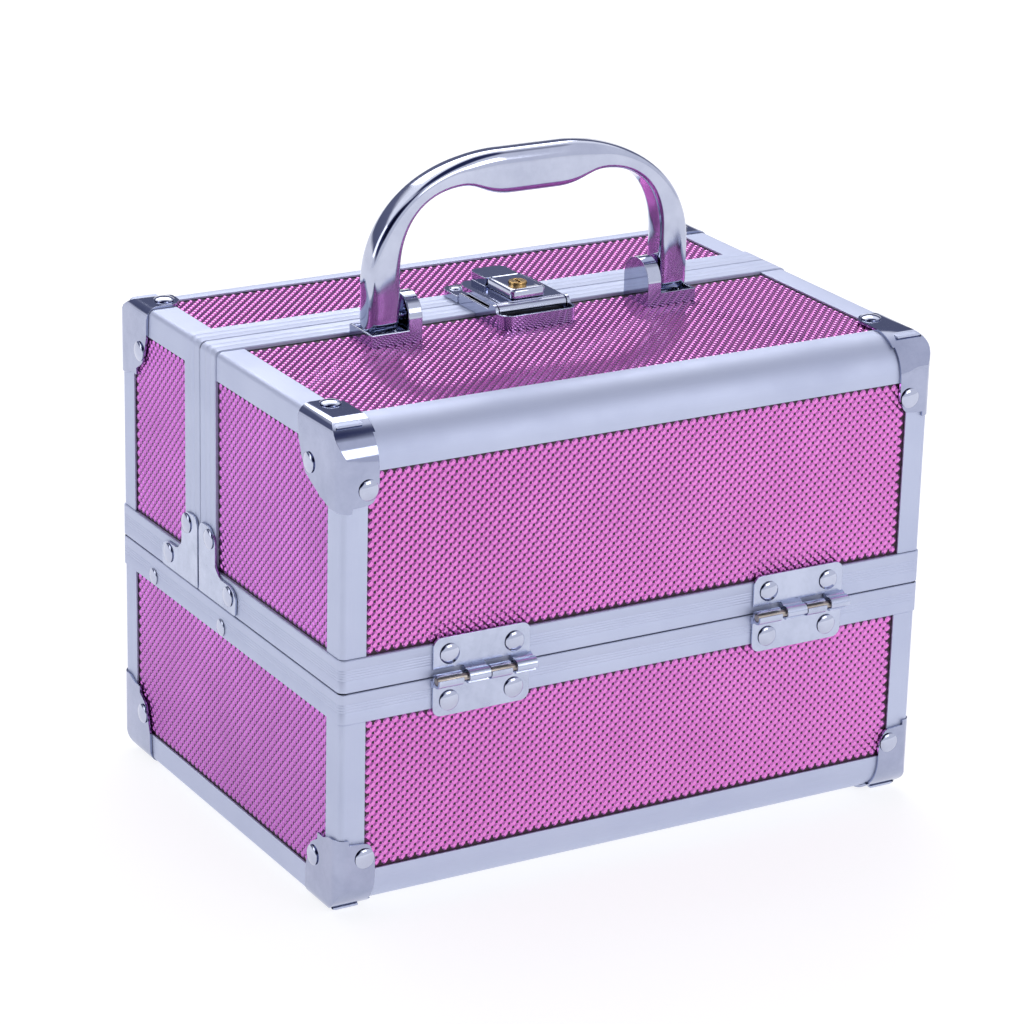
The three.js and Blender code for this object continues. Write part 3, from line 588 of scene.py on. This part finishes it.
# %% Belt and centre rails
GROOVES = {"base": (3.6, 4.5, 5.5, 6.5), "lid": (4.3, 5.25, 6.2, 7.1, 8.0)}
def grooved_profile(width, lip_depth, grooves, raised=0.0):
    """Out and side points of a rail: its grooved face, then the lip that turns in over the sheet edges."""
    face = [(PROUD - 0.25, 0), (PROUD + raised - 0.02, 0.25)]
    for groove in grooves:
        face += [(PROUD, groove - 0.2), (PROUD - 0.09, groove), (PROUD, groove + 0.2)]
    face += [(PROUD, width - 0.3), (PROUD - 0.3, width)]
    return face + [(-RAIL, width), (-RAIL, 1), (-lip_depth, 1), (-lip_depth, 0)]

def filleted(points, r, closed, steps=8):
    """Places and outward directions along an anticlockwise path whose corners are rounded by r."""
    stations, count = [], len(points)
    for i, point in enumerate(points):
        here = Vector(point)
        if not closed and i in (0, count - 1):
            heading = (Vector(points[1]) - here if i == 0 else here - Vector(points[-2])).normalized()
            stations.append((here, Vector((heading.y, -heading.x))))
            continue
        before = (here - Vector(points[i - 1])).normalized()
        after = (Vector(points[(i + 1) % count]) - here).normalized()
        out_a, out_b = Vector((before.y, -before.x)), Vector((after.y, -after.x))
        centre = here - (out_a + out_b) * r
        for k in range(steps + 1):
            turn = math.pi / 2 * k / steps
            out = out_a * math.cos(turn) + out_b * math.sin(turn)
            stations.append((centre + out * r, out))
    return stations

def belt(body, path, closed, seam_z, direction, width):
    stations = [(Vector((p.x, p.y, seam_z)), Vector((n.x, n.y, 0)), Vector((0, 0, direction)))
                for p, n in filleted(path, POST_R, closed)]
    profile = grooved_profile(width, LINER_IN, GROOVES["base" if closed else "lid"])
    piece = make_piece(f"{body}_belt", [sweep(profile, stations, closed)],
                       ALUMINIUM, body, "aluminium_rail", smooth=30)
    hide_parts(f"{body}_belt_rail")
    return add_uv(piece, 2, straight=False)

def centre_rail(body, sy):
    zb = belt_top + GAP
    path = [(HALF_L, zb), (HALF_L, TOP), (-HALF_L, TOP), (-HALF_L, zb)]
    y = SPLIT + sy * PARTING
    stations = [(Vector((p.x, y, p.y)), Vector((n.x, 0, n.y)), Vector((0, sy, 0)))
                for p, n in filleted(path, POST_R, False)]
    piece = make_piece(f"{body}_centre", [sweep(grooved_profile(CENTRE, LINER_IN, (4.0, 7.6)), stations)],
                       ALUMINIUM, body, "aluminium_rail", smooth=30)
    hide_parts(f"{body}_centre_rail")
    return add_uv(piece, 1, straight=False)

ring = [(-HALF_L, -HALF_W), (HALF_L, -HALF_W), (HALF_L, HALF_W), (-HALF_L, HALF_W)]
belt("base", ring, True, SEAM - PARTING, -1, BELT_LOW - PARTING)
front_y, rear_y = SPLIT - PARTING, SPLIT + PARTING
front_path = [(-HALF_L, front_y), ring[0], ring[1], (HALF_L, front_y)]
rear_path = [(HALF_L, rear_y), ring[2], ring[3], (-HALF_L, rear_y)]
for lid, path in (("front_lid", front_path), ("rear_lid", rear_path)):
    belt(lid, path, False, SEAM + PARTING, 1, BELT_HIGH - PARTING)
for sy in SIDES:
    centre_rail(ROW_NAME[sy] + "_lid", sy)
print("belt and centre rails made")

# %% [markdown]
# ## Corner caps
# Each cap is pressed from thin sheet over the rounded corner, with a rounded tab on three faces. Cutting a
# thin shell of the case's own form with the tab outlines gives the same fit as the real pressing.

# %% Corner caps
FOLD = 2.4                                # how much rounder a cap's folded edge is than the post inside it
def form_mesh(offset, name):
    """The case's rounded form grown by an offset: three pushed outlines, intersected."""
    r_edge, r_post = EDGE_R + offset, POST_R + (FOLD if offset > CAP else offset)
    x, y, z0, z1 = HALF_L + offset, HALF_W + offset, FLOOR - offset, TOP + offset
    bars = [prism("x", round_rect(-y, z0, y, z1, r_edge, 20), -x - 1, x + 1),
            prism("z", round_rect(-x, -y, x, y, r_post, 6), z0 - 1, z1 + 1),
            prism("y", round_rect(-x, z0, x, z1, r_post, 6), -y - 1, y + 1)]
    solids = [plain_object(f"{name}_{i}", [part]) for i, part in enumerate(bars)]
    return boolean(boolean(solids[0], solids[1], "INTERSECT"), solids[2], "INTERSECT")

def plain_object(name, parts):
    result = bpy.data.objects.new(name, solid_mesh(name, parts, False))
    bpy.context.scene.collection.objects.link(result)
    return result

def boolean(target, tool, operation, keep_tool=False):
    cut = target.modifiers.new("cut", "BOOLEAN")
    cut.operation, cut.object, cut.solver = operation, tool, "EXACT"
    cut.use_self = operation == "INTERSECT"
    mesh = bpy.data.meshes.new_from_object(target.evaluated_get(bpy.context.evaluated_depsgraph_get()))
    target.modifiers.remove(cut)
    target.data = mesh
    if not keep_tool:
        bpy.data.objects.remove(tool)
    return target

LONG_TAB = [(-2, -2, 0), (13, -2, 0), (13, 20.5, 2), (10.8, 25.6, 3), (4, 26.2, 3), (-2, 26, 0)]
def cap_tabs(reach):
    stretch = reach / 30
    flat = [(-2, -2, 0), (13.9, -2, 0), (13.9, reach - 4.5, 3), (10.5, reach, 4), (-2, reach, 0)]
    end = [(-2, -2, 0), (30, -2, 0), (29.2, 10.4, 3), (25, 20.5, 5), (14, 25.6, 6), (7.5, 27.6, 2),
           (-2, 28, 0)]
    return flat, [(y * stretch, z, r) for y, z, r in end]

def corner_cap(body, sx, sy, sz, shell, place):
    reach = 29.8 if body == "front_lid" else 23
    flat, end = cap_tabs(reach)
    z_edge = TOP if sz > 0 else FLOOR
    on_long = rounded([(sx * (HALF_L - x), z_edge - sz * z, r) for x, z, r in LONG_TAB], 0)
    on_flat = rounded([(sx * (HALF_L - x), sy * (HALF_W - y), r) for x, y, r in flat], 0)
    on_end = rounded([(sy * (HALF_W - y), z_edge - sz * z, r) for y, z, r in end], 0)
    tools = [prism("y", on_long, sy * (HALF_W - EDGE_R), sy * (HALF_W + 3)),
             prism("z", on_flat, z_edge - sz * 3, z_edge + sz * 3.1),
             prism("x", on_end, sx * (HALF_L - 3.2), sx * (HALF_L + 3.2))]
    cutter = plain_object("tabs", [tools[0]])
    for tool in tools[1:]:
        cutter = boolean(cutter, plain_object("tab", [tool]), "UNION")
    cap = bpy.data.objects.new(f"{body}_cap_{place}", shell.data.copy())
    bpy.context.scene.collection.objects.link(cap)
    cap = boolean(cap, cutter, "INTERSECT")
    # the caps take the darker chrome copy, which is painted shade
    finish_piece(cap, CAP_CHROME_PAINTED_SHADE, body, "chrome", bevel=0.22, smooth=30)
    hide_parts(f"{body}_corner_cap_{place}")
    return cap

cap_shell = boolean(form_mesh(GAP + CAP, "outer"), form_mesh(GAP, "inner"), "DIFFERENCE")
for sy in SIDES:
    for sx in SIDES:
        corner_cap("base", sx, sy, -1, cap_shell, f"{ROW_NAME[sy]}_{SIDE_NAME[sx]}")
        corner_cap(ROW_NAME[sy] + "_lid", sx, sy, 1, cap_shell, SIDE_NAME[sx])
bpy.data.objects.remove(cap_shell)
print("corner caps made")

# %% [markdown]
# ## Hinges and joint plates
# A hinge is two leaves whose fingers curl round one pin. The joint plates are flat pressings that tie the
# lids' rails at the split. Both are outlines pushed to sheet thickness with a small rounded edge.

# %% Hinges
HINGE_Y, HINGE_X, HINGE_HALF, KNUCKLE_R, PIN_R, LEAF = HALF_W + 4.2, 63, 18.4, 2.5, 1.25, 0.9
KNUCKLES, KNUCKLE_GAPS = (9.4, 8.1, 7.9, 7.8), (2.2, 0.3, 1.9)
span = sum(KNUCKLES) + sum(KNUCKLE_GAPS)
starts = [-span / 2 + sum(KNUCKLES[:i]) + sum(KNUCKLE_GAPS[:i]) for i in range(4)]
knuckle_ends = [(start, start + width) for start, width in zip(starts, KNUCKLES)]

def hinge_leaf(body, sx, sy, up, place):
    face = HALF_W + PROUD + GAP
    zs = lambda h: SEAM + up * h
    leaf = round_rect(-HINGE_HALF, 3, HINGE_HALF, 14, (0, 0, 3.2, 3.2), 6)
    parts = [prism("y", [(sx * HINGE_X + a, zs(b)) for a, b in leaf], sy * face, sy * (face + LEAF))]
    for a, b in [ends for i, ends in enumerate(knuckle_ends) if (i % 2 == 0) == (up < 0)]:
        x0, x1 = sx * HINGE_X + a, sx * HINGE_X + b
        # the curl leaves the leaf, rolls round the pin and closes on itself
        curl = arc(0, 0, KNUCKLE_R, 200, -120, 26) + arc(0, 0, PIN_R + 0.22, -120, 200, 20)
        parts.append(prism("x", [(sy * (HINGE_Y - p), zs(q)) for p, q in curl], x0, x1))
        web = [(HINGE_Y - face, 0.6), (HINGE_Y - face, 3.2), (HINGE_Y - face - LEAF, 3.2),
               (1.0, 2.3), (1.4, 1.2), (2.0, 0.6)]
        parts.append(prism("x", [(sy * (HINGE_Y - p), zs(q)) for p, q in web], x0, x1))
    piece = make_piece(f"{body}_leaf_{place}", parts, PLATE, body, "satin_hinge", bevel=0.16)
    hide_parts(f"{body}_hinge_leaf_{place}")
    return piece

def hinge_pin(sx, sy):
    pin = arc(sy * HINGE_Y, SEAM, PIN_R, 0, 345, 23)
    return make_piece(f"hinge_pin_{ROW_NAME[sy]}_{SIDE_NAME[sx]}",
                      [prism("x", pin, sx * HINGE_X - span / 2, sx * HINGE_X + span / 2)],
                      ZINC, "base", "plated_steel", bevel=0.2)

for sy in SIDES:
    for sx in SIDES:
        hinge_leaf("base", sx, sy, -1, f"{ROW_NAME[sy]}_{SIDE_NAME[sx]}")
        hinge_leaf(ROW_NAME[sy] + "_lid", sx, sy, 1, SIDE_NAME[sx])
        hinge_pin(sx, sy)
print("hinges made")

# %% Joint plates
PLATE_OUTLINE = [(0.4, 1, 0.6), (28.6, 1, 1), (29, 8.8, 3.6), (24, 10.7, 3), (16.5, 10.7, 4), (13, 14, 3),
                 (13, 23.5, 4), (8.6, 27, 4), (0.4, 27, 4)]
PLATE_FACE = HALF_L + PROUD + GAP
def joint_plate(body, sx, sy):
    edge = SPLIT + sy * PARTING
    outline = rounded([(edge + sy * y, SEAM + z, r) for y, z, r in PLATE_OUTLINE], 0)
    sheet = prism("x", outline, sx * PLATE_FACE, sx * (PLATE_FACE + CAP))
    piece = make_piece(f"{body}_plate_{SIDE_NAME[sx]}", [sheet], PLATE, body, "chrome", bevel=0.25)
    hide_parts(f"{body}_joint_plate_{SIDE_NAME[sx]}")
    return piece

for sy in SIDES:
    for sx in SIDES:
        joint_plate(ROW_NAME[sy] + "_lid", sx, sy)
print("joint plates made")

# %% [markdown]
# ## Rivets
# Every fitting is held by the same domed rivet. One head is turned from a profile, and a Geometry Nodes
# tree sets it on a list of points, turned to each point's stored direction.

# %% Rivet head and tree
def rivet_head():
    # a neck, the shadow gap under the rim, the rim, and the dome
    profile = [(0, 0), (3.05, 0), (3.05, 0.3), (3.5, 0.3), (3.6, 0.42), (3.45, 0.58), (3.1, 0.78),
               (2.5, 1.02), (1.7, 1.24), (0.9, 1.35), (0, 1.38)]
    sides, verts = 28, []
    rings = profile[1:-1]
    for r, z in rings:
        turns = [2 * math.pi * k / sides for k in range(sides)]
        verts += [(r * MM * math.cos(t), r * MM * math.sin(t), z * MM) for t in turns]
    faces = ring_faces(len(rings), sides) + [tuple(reversed(range(sides)))]
    verts.append((0, 0, profile[-1][1] * MM))
    last = (len(rings) - 1) * sides
    faces += [(last + k, last + (k + 1) % sides, len(verts) - 1) for k in range(sides)]
    mesh = bpy.data.meshes.new("rivet_head")
    mesh.from_pydata(verts, [], faces)
    mesh.polygons.foreach_set("use_smooth", [True] * len(mesh.polygons))
    mesh.set_sharp_from_angle(angle=math.radians(50))
    head = bpy.data.objects.new("rivet_head", mesh)
    bpy.context.scene.collection.objects.link(head)
    return head

def rivet_tree():
    tree, inside, outside = start_tree("rivets",
        (("Geometry", "Geometry", None), ("Head", "Object", None), ("Size", "Float", 1.0),
         ("Material", "Material", None)))
    given = inside.outputs
    head = add_node(tree, "GeometryNodeObjectInfo", {"Object": given["Head"]})
    facing = add_node(tree, "GeometryNodeInputNamedAttribute", {"Name": "facing"}, data_type="FLOAT_VECTOR")
    turn = add_node(tree, "FunctionNodeAlignRotationToVector", {"Vector": facing.outputs["Attribute"]},
                    axis="Z")
    spread = add_node(tree, "GeometryNodeInstanceOnPoints",
                      {"Points": given["Geometry"], "Instance": head.outputs["Geometry"],
                       "Rotation": turn.outputs[0], "Scale": given["Size"]})
    real = add_node(tree, "GeometryNodeRealizeInstances", {0: spread.outputs[0]})
    return end_tree(tree, real.outputs[0], inside, outside)

RIVET_HEAD, RIVETS = rivet_head(), rivet_tree()

# %% Set the rivets
SUNK, PLATE_SUNK = 0.02, 0.1              # how far a rivet's foot is let into the sheet under it
PLATE_RIVETS = ((8.6, 22.6), (23.4, 6.6)) # from the split and from the seam
BELT_RIVET_Y, BELT_RIVET_DROP, BELT_RIVET_SIZE = (3.4, 57.9), 7.6, 0.84
def set_rivets(name, body, spots, size=1.0):
    mesh = bpy.data.meshes.new(name)
    mesh.from_pydata([tuple(v * MM for v in place) for place, _ in spots], [], [])
    facing = mesh.attributes.new("facing", "FLOAT_VECTOR", "POINT")
    facing.data.foreach_set("vector", [v for _, direction in spots for v in direction])
    piece = run_tree(name, RIVETS, mesh, Head=RIVET_HEAD, Size=size, Material=CHROME)
    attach(piece, body)
    print(name, len(spots), "rivets")

def cap_spots(sx, sy, sz, front):
    z_edge, out = (TOP if sz > 0 else FLOOR), GAP + CAP - SUNK
    end_y = HALF_W - (21.3 if front else 17)
    spots = [((sx * (HALF_L - 9), sy * (HALF_W + out), z_edge - sz * 20.5), (0, sy, 0)),
             ((sx * (HALF_L + out), sy * end_y, z_edge - sz * 16.5), (sx, 0, 0))]
    if sz > 0:
        spots.append(((sx * (HALF_L - 8.6), sy * (HALF_W - (25.1 if front else 17)), TOP + out), (0, 0, 1)))
    return spots

def leaf_spots(sx, sy, up):
    out = HALF_W + PROUD + GAP + LEAF - SUNK
    return [((sx * HINGE_X + d * 12.3, sy * out, SEAM + (8 if up > 0 else -8.6)), (0, sy, 0)) for d in SIDES]

base_spots = []
for sy in SIDES:
    lid_spots = []
    for sx in SIDES:
        base_spots += cap_spots(sx, sy, -1, False) + leaf_spots(sx, sy, -1)
        lid_spots += cap_spots(sx, sy, 1, sy < 0) + leaf_spots(sx, sy, 1)
        plate_x = sx * (PLATE_FACE + CAP - PLATE_SUNK)
        lid_spots += [((plate_x, SPLIT + sy * (PARTING + y), SEAM + z), (sx, 0, 0)) for y, z in PLATE_RIVETS]
    set_rivets(f"{ROW_NAME[sy]}_lid_rivets", ROW_NAME[sy] + "_lid", lid_spots)
set_rivets("base_rivets", "base", base_spots)
belt_spots = [((sx * (HALF_L + PROUD - SUNK), y, SEAM - BELT_RIVET_DROP), (sx, 0, 0))
              for sx in SIDES for y in BELT_RIVET_Y]
set_rivets("belt_rivets", "base", belt_spots, BELT_RIVET_SIZE)
bpy.data.objects.remove(RIVET_HEAD)

# %% [markdown]
# ## Handle
# The handle is one smooth chromed casting: straight legs, a round bend, and a fuller grip. Its section is a
# soft rectangle, so the mesh is a row of such sections set along rays from one centre, between the inner
# and the outer curve.

# %% Handle curves
HANDLE_Y, HANDLE_Z = -1.5, TOP + 7.5
OUTER, INNER, RISE, ARCH, GRIP, DEPTH = 64, 52, 62, 51, 46.5, 11
def bezier(a, b, c, d, steps=24):
    a, b, c, d = map(Vector, (a, b, c, d))
    return [(1 - t) ** 3 * a + 3 * t * (1 - t) ** 2 * b + 3 * t * t * (1 - t) * c + t ** 3 * d
            for t in (i / steps for i in range(steps + 1))]

outer_curve = ([Vector((OUTER, -30))] + bezier((OUTER, 20), (OUTER, 44), (42, RISE - 1), (14, RISE))
               + [Vector((0, RISE))])
inner_curve = ([Vector((INNER, -30))] + bezier((INNER, 24), (INNER, 42), (42, ARCH), (28, ARCH))
               + bezier((28, ARCH), (21, ARCH), (19, GRIP), (9, GRIP)) + [Vector((0, GRIP))])

def along_ray(curve, centre, angle):
    """The distance from the centre at which a ray meets a curve."""
    heading = Vector((math.cos(angle), math.sin(angle)))
    for a, b in zip(curve, curve[1:]):
        edge, gap = b - a, a - centre
        bottom = heading.x * edge.y - heading.y * edge.x
        if abs(bottom) < 1e-9:
            continue
        distance = (gap.x * edge.y - gap.y * edge.x) / bottom
        along = (gap.x * heading.y - gap.y * heading.x) / bottom
        if -1e-6 <= along <= 1 + 1e-6 and distance > 0:
            return distance
    raise ValueError(f"no crossing at {angle}")

# %% Handle mesh
def soft_rectangle(width, depth, points=40):
    """A casting's section: its inner corners are crisper than its outer ones."""
    shape = []
    for i in range(points):
        angle = 2 * math.pi * i / points
        c, s = math.cos(angle), math.sin(angle)
        power = 3.1 if c > 0 else 5.5
        u, v = (math.copysign(abs(part) ** (2 / power), part) for part in (c, s))
        shape.append((u * width / 2, v * depth / 2))
    return shape

def handle_stations():
    centre = Vector((0, 18))
    half = []
    for k in range(7):                                     # the rounded foot below the pivot
        turn = math.pi / 2 * k / 6
        depth = max(DEPTH * math.sin(turn), 0.6)
        z = HANDLE_Z - TOP - DEPTH / 2 * math.cos(turn)
        half.append((Vector(((OUTER + INNER) / 2, z)), Vector((1, 0)), OUTER - INNER, depth))
    for k in range(1, 6):
        z = HANDLE_Z - TOP + (centre.y - HANDLE_Z + TOP) * k / 5
        half.append((Vector(((OUTER + INNER) / 2, z)), Vector((1, 0)), OUTER - INNER, DEPTH))
    for k in range(1, 41):
        angle = math.pi / 2 * k / 40
        r_out, r_in = along_ray(outer_curve, centre, angle), along_ray(inner_curve, centre, angle)
        ray = Vector((math.cos(angle), math.sin(angle)))
        half.append((centre + ray * (r_out + r_in) / 2, ray, r_out - r_in, DEPTH))
    mirrored = [(Vector((-p.x, p.y)), Vector((-ray.x, ray.y)), w, d) for p, ray, w, d in reversed(half[:-1])]
    return half + mirrored

def handle():
    verts, size = [], 40
    rows = handle_stations()
    for place, ray, width, depth in rows:
        for u, v in soft_rectangle(width, depth):
            verts.append((place.x + ray.x * u, HANDLE_Y + v, TOP + place.y + ray.y * u))
    ends = [tuple(range(size)), tuple(range((len(rows) - 1) * size, len(rows) * size))]
    piece = make_piece("carrying_handle", [(verts, ring_faces(len(rows), size) + ends)],
                       CHROME, "handle", "chrome", smooth=60)
    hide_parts("handle")
    return piece

handle()
print("handle made")

# %% [markdown]
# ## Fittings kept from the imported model
# The brackets, latch, trays and arms already have their true shape. A merged copy of each gets a rounded
# edge, because no pressed or moulded part has a knife edge, and the thin sheets inside keep their mesh.

# %% Dressed copies
def dress(node, body, material, slot, bevel, smooth=35):
    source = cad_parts[node]
    piece = bpy.data.objects.new(node + "_finished", source.data.copy())
    tidy = bmesh.new()
    tidy.from_mesh(piece.data)
    bmesh.ops.remove_doubles(tidy, verts=tidy.verts, dist=1e-6)
    bmesh.ops.dissolve_limit(tidy, angle_limit=math.radians(1), verts=tidy.verts, edges=tidy.edges)
    tidy.to_mesh(piece.data)
    tidy.free()
    finish_piece(piece, material, body, slot, bevel, 3, 40, smooth)
    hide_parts(node)
    return piece

for side in ("left", "right"):
    dress(f"handle_bracket_{side}", "front_lid", CHROME, "chrome", 0.5)
dress("latch_base", "front_lid", CHROME, "chrome", 0.3)
dress("latch_keeper", "rear_lid", CHROME, "chrome", 0.4)
dress("hasp", "hasp", CHROME, "chrome", 0.5)
dress("key_cylinder", "key", BRASS, "brass", 0.15)
for row in ("front", "rear"):
    dress(f"{row}_tray", f"{row}_tray", BLACK_PLASTIC, "black_plastic", 0.35)
    for side in ("left", "right"):
        dress(f"{row}_tray_arm_{side}", f"{row}_tray_arms", ZINC, "plated_steel", 0.2)
print("fittings dressed")

# %% [markdown]
# ## Lock and latch spring
# The lock is a small box with a raised frame round its key, and a near-black plate shaped as a leaf spring
# fills the latch's dish; its black is painted shade for the dish's dark inside. Both are stacks of rounded
# outlines, joined so that each step catches its own line of light.

# %% Lock and latch spring
def stepped(steps, steps_per_corner=6):
    """One closed body from outlines of equal length set at rising heights."""
    rings = [round_rect(*box, radius, steps_per_corner) for box, radius, _ in steps]
    count, verts = len(rings[0]), []
    for ring, (_, _, z) in zip(rings, steps):
        verts += [(x, y, z) for x, y in ring]
    ends = [tuple(reversed(range(count))), tuple(range(len(verts) - count, len(verts)))]
    return verts, ring_faces(len(rings), count) + ends

def box_outline(inset, y1=14.3):
    return -7 + inset, -4 + inset, 7 - inset, y1 - inset

KEY_Y, KEY_R = 4.3, 3.2
lock_low, lock_high = box_mm("lock_body")
low, high = lock_low[2], lock_high[2]
body = stepped([(box_outline(0.5), 1.6, low), (box_outline(0), 2, low + 0.4), (box_outline(0), 2, high - 0.9),
                (box_outline(0.35), 1.8, high - 0.35), (box_outline(0.9), 1.4, high - 0.1),
                (box_outline(1.5), 1, high - 0.25)])
lock = plain_object("lock_case", [body])
hole = plain_object("keyhole", [prism("z", arc(0, KEY_Y, KEY_R + 0.25, 0, 350, 35), low - 1, high + 1)])
finish_piece(boolean(lock, hole, "DIFFERENCE"), CHROME, "hasp", "chrome", bevel=0.15)
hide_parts("lock_body")

# a near-black plate shaped as a spring across the latch's dish: its black is painted shade for the dish's dark
# inside
SPRING, SPRING_FOOT, SPRING_TOP = (-13.4, -11.4, 13.4, 7.2), TOP + 1.55, TOP + 1.95
spring = stepped([(SPRING, 2.4, SPRING_FOOT), (SPRING, 2.4, SPRING_TOP),
                  ((-12.6, -10.6, 12.6, 6.4), 2, SPRING_TOP + 0.1)])
make_piece("latch_spring", [spring], SPRING_STEEL_AND_SHADE, "front_lid", "plated_steel")
print("lock and latch spring made")

# %% Materials on the nodes that stay
# the panels' near-black material is painted shade seen between and around the press marks
STAYING = {"panel": PANEL_PAINTED_SHADE, "liner": FOAM, "floor_panel": BLACK_BOARD,
           "mirror_frame": BLACK_PLASTIC, "mirror_glass": MIRROR}
for name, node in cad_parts.items():
    for word, material in STAYING.items():
        if word in name:
            node.data.materials.clear()
            node.data.materials.append(material)

# %% [markdown]
# ## Studio
# A white sweep of floor fills the view, with broad soft lights in front, beside and behind. Chrome only
# looks like chrome when it has something dark to show, so the sky has a dark gap behind the case and three
# dark blue patches.

# %% Floor
def make_floor():
    mesh = bpy.data.meshes.new("floor")
    z = cad_box[0][2] - 0.0002
    mesh.from_pydata([(-6, -6, z), (6, -6, z), (6, 6, z), (-6, 6, z)], [], [(0, 1, 2, 3)])
    floor = bpy.data.objects.new("floor", mesh)
    material, tree, shader = new_material("floor_paper", (0.32, 0.32, 0.33), 0.9,
                                          Emission_Color=(1, 1, 1, 1), Emission_Strength=0.78)
    noise = add_node(tree, "ShaderNodeTexNoise", {"Vector": coordinates(tree), "Scale": 300})
    bump(tree, shader, noise.outputs["Fac"], 0.00002)
    mesh.materials.append(material)
    bpy.context.scene.collection.objects.link(floor)

make_floor()

# %% Lights and sky
def area_light(name, spot, aim, size, power):
    data = bpy.data.lights.new(name, "AREA")
    data.shape, data.size, data.size_y, data.energy = "RECTANGLE", size[0], size[1], power
    light = bpy.data.objects.new(name, data)
    light.location = spot
    light.rotation_euler = (Vector(aim) - Vector(spot)).to_track_quat("-Z", "Y").to_euler()
    bpy.context.scene.collection.objects.link(light)

area_light("key", (0.6, -2.0, 1.1), (0, 0, 0.1), (1.0, 0.8), 7)
area_light("fill", (-1.9, 0.5, 0.9), (0, 0, 0.1), (0.8, 1.0), 4)
area_light("back", (0.5, 1.5, 1.7), (0, 0, 0.1), (1.6, 0.9), 14)

def ramp_node(tree, value, stops):
    ramp = tree.nodes.new("ShaderNodeValToRGB")
    tree.links.new(value, ramp.inputs["Fac"])
    while len(ramp.color_ramp.elements) < len(stops):
        ramp.color_ramp.elements.new(0.5)
    for element, (place, colour) in zip(ramp.color_ramp.elements, stops):
        element.position = place
        element.color = (*colour, 1)
    return ramp.outputs[0]

PAPER, GAP_LOW, GAP_HIGH, WHITE = (0.76, 0.76, 0.78), (0.10, 0.11, 0.17), (0.13, 0.14, 0.21), (1, 1, 1)
PATCH_EDGE, PATCH_MIDDLE = (0.05, 0.06, 0.14), (0.02, 0.03, 0.08)
# each patch: its direction, and the cosines at which it starts and is full
PATCHES = (((0.06, -0.17, 0.98), 0.86, 0.92), ((-0.52, -0.62, 0.55), 0.90, 0.94),
           ((-0.80, -0.33, 0.48), 0.87, 0.93))
def make_sky():
    world = bpy.data.worlds.new("sky")
    world.use_nodes = True
    tree = world.node_tree
    tree.nodes.clear()
    heading = tree.nodes.new("ShaderNodeTexCoord").outputs["Generated"]
    parts = add_node(tree, "ShaderNodeSeparateXYZ", {0: heading})
    # the wall behind the case: white paper, a dark gap above it, then the brightest light
    wall = ramp_node(tree, parts.outputs["Z"], ((0.0, PAPER), (0.10, PAPER), (0.17, GAP_LOW),
                                                (0.48, GAP_HIGH), (0.58, WHITE), (1.0, WHITE)))
    room = ramp_node(tree, parts.outputs["Z"], ((0.0, (0.62, 0.63, 0.68)), (1.0, (0.66, 0.67, 0.72))))
    behind = add_node(tree, "ShaderNodeMapRange", {"Value": parts.outputs["Y"], "From Min": 0.05,
                                                   "From Max": 0.35})
    both = add_node(tree, "ShaderNodeMix", {"Factor": behind.outputs[0], "A": room, "B": wall},
                    data_type="RGBA")
    # dark patches: the ceiling between the lights, and the open room behind and beside the camera
    result = both.outputs["Result"]
    for centre, start, full in PATCHES:
        dark = add_node(tree, "ShaderNodeVectorMath", {0: heading, 1: Vector(centre).normalized()},
                        operation="DOT_PRODUCT")
        stops = ((0.0, WHITE), (start, WHITE), (full, PATCH_EDGE), (1.0, PATCH_MIDDLE))
        shade = ramp_node(tree, dark.outputs["Value"], stops)
        result = multiply(tree, result, shade)
    background = add_node(tree, "ShaderNodeBackground", {0: result, 1: 1.35})
    add_node(tree, "ShaderNodeOutputWorld", {0: background.outputs[0]})
    bpy.context.scene.world = world

make_sky()
bpy.context.scene.view_settings.view_transform = "Standard"
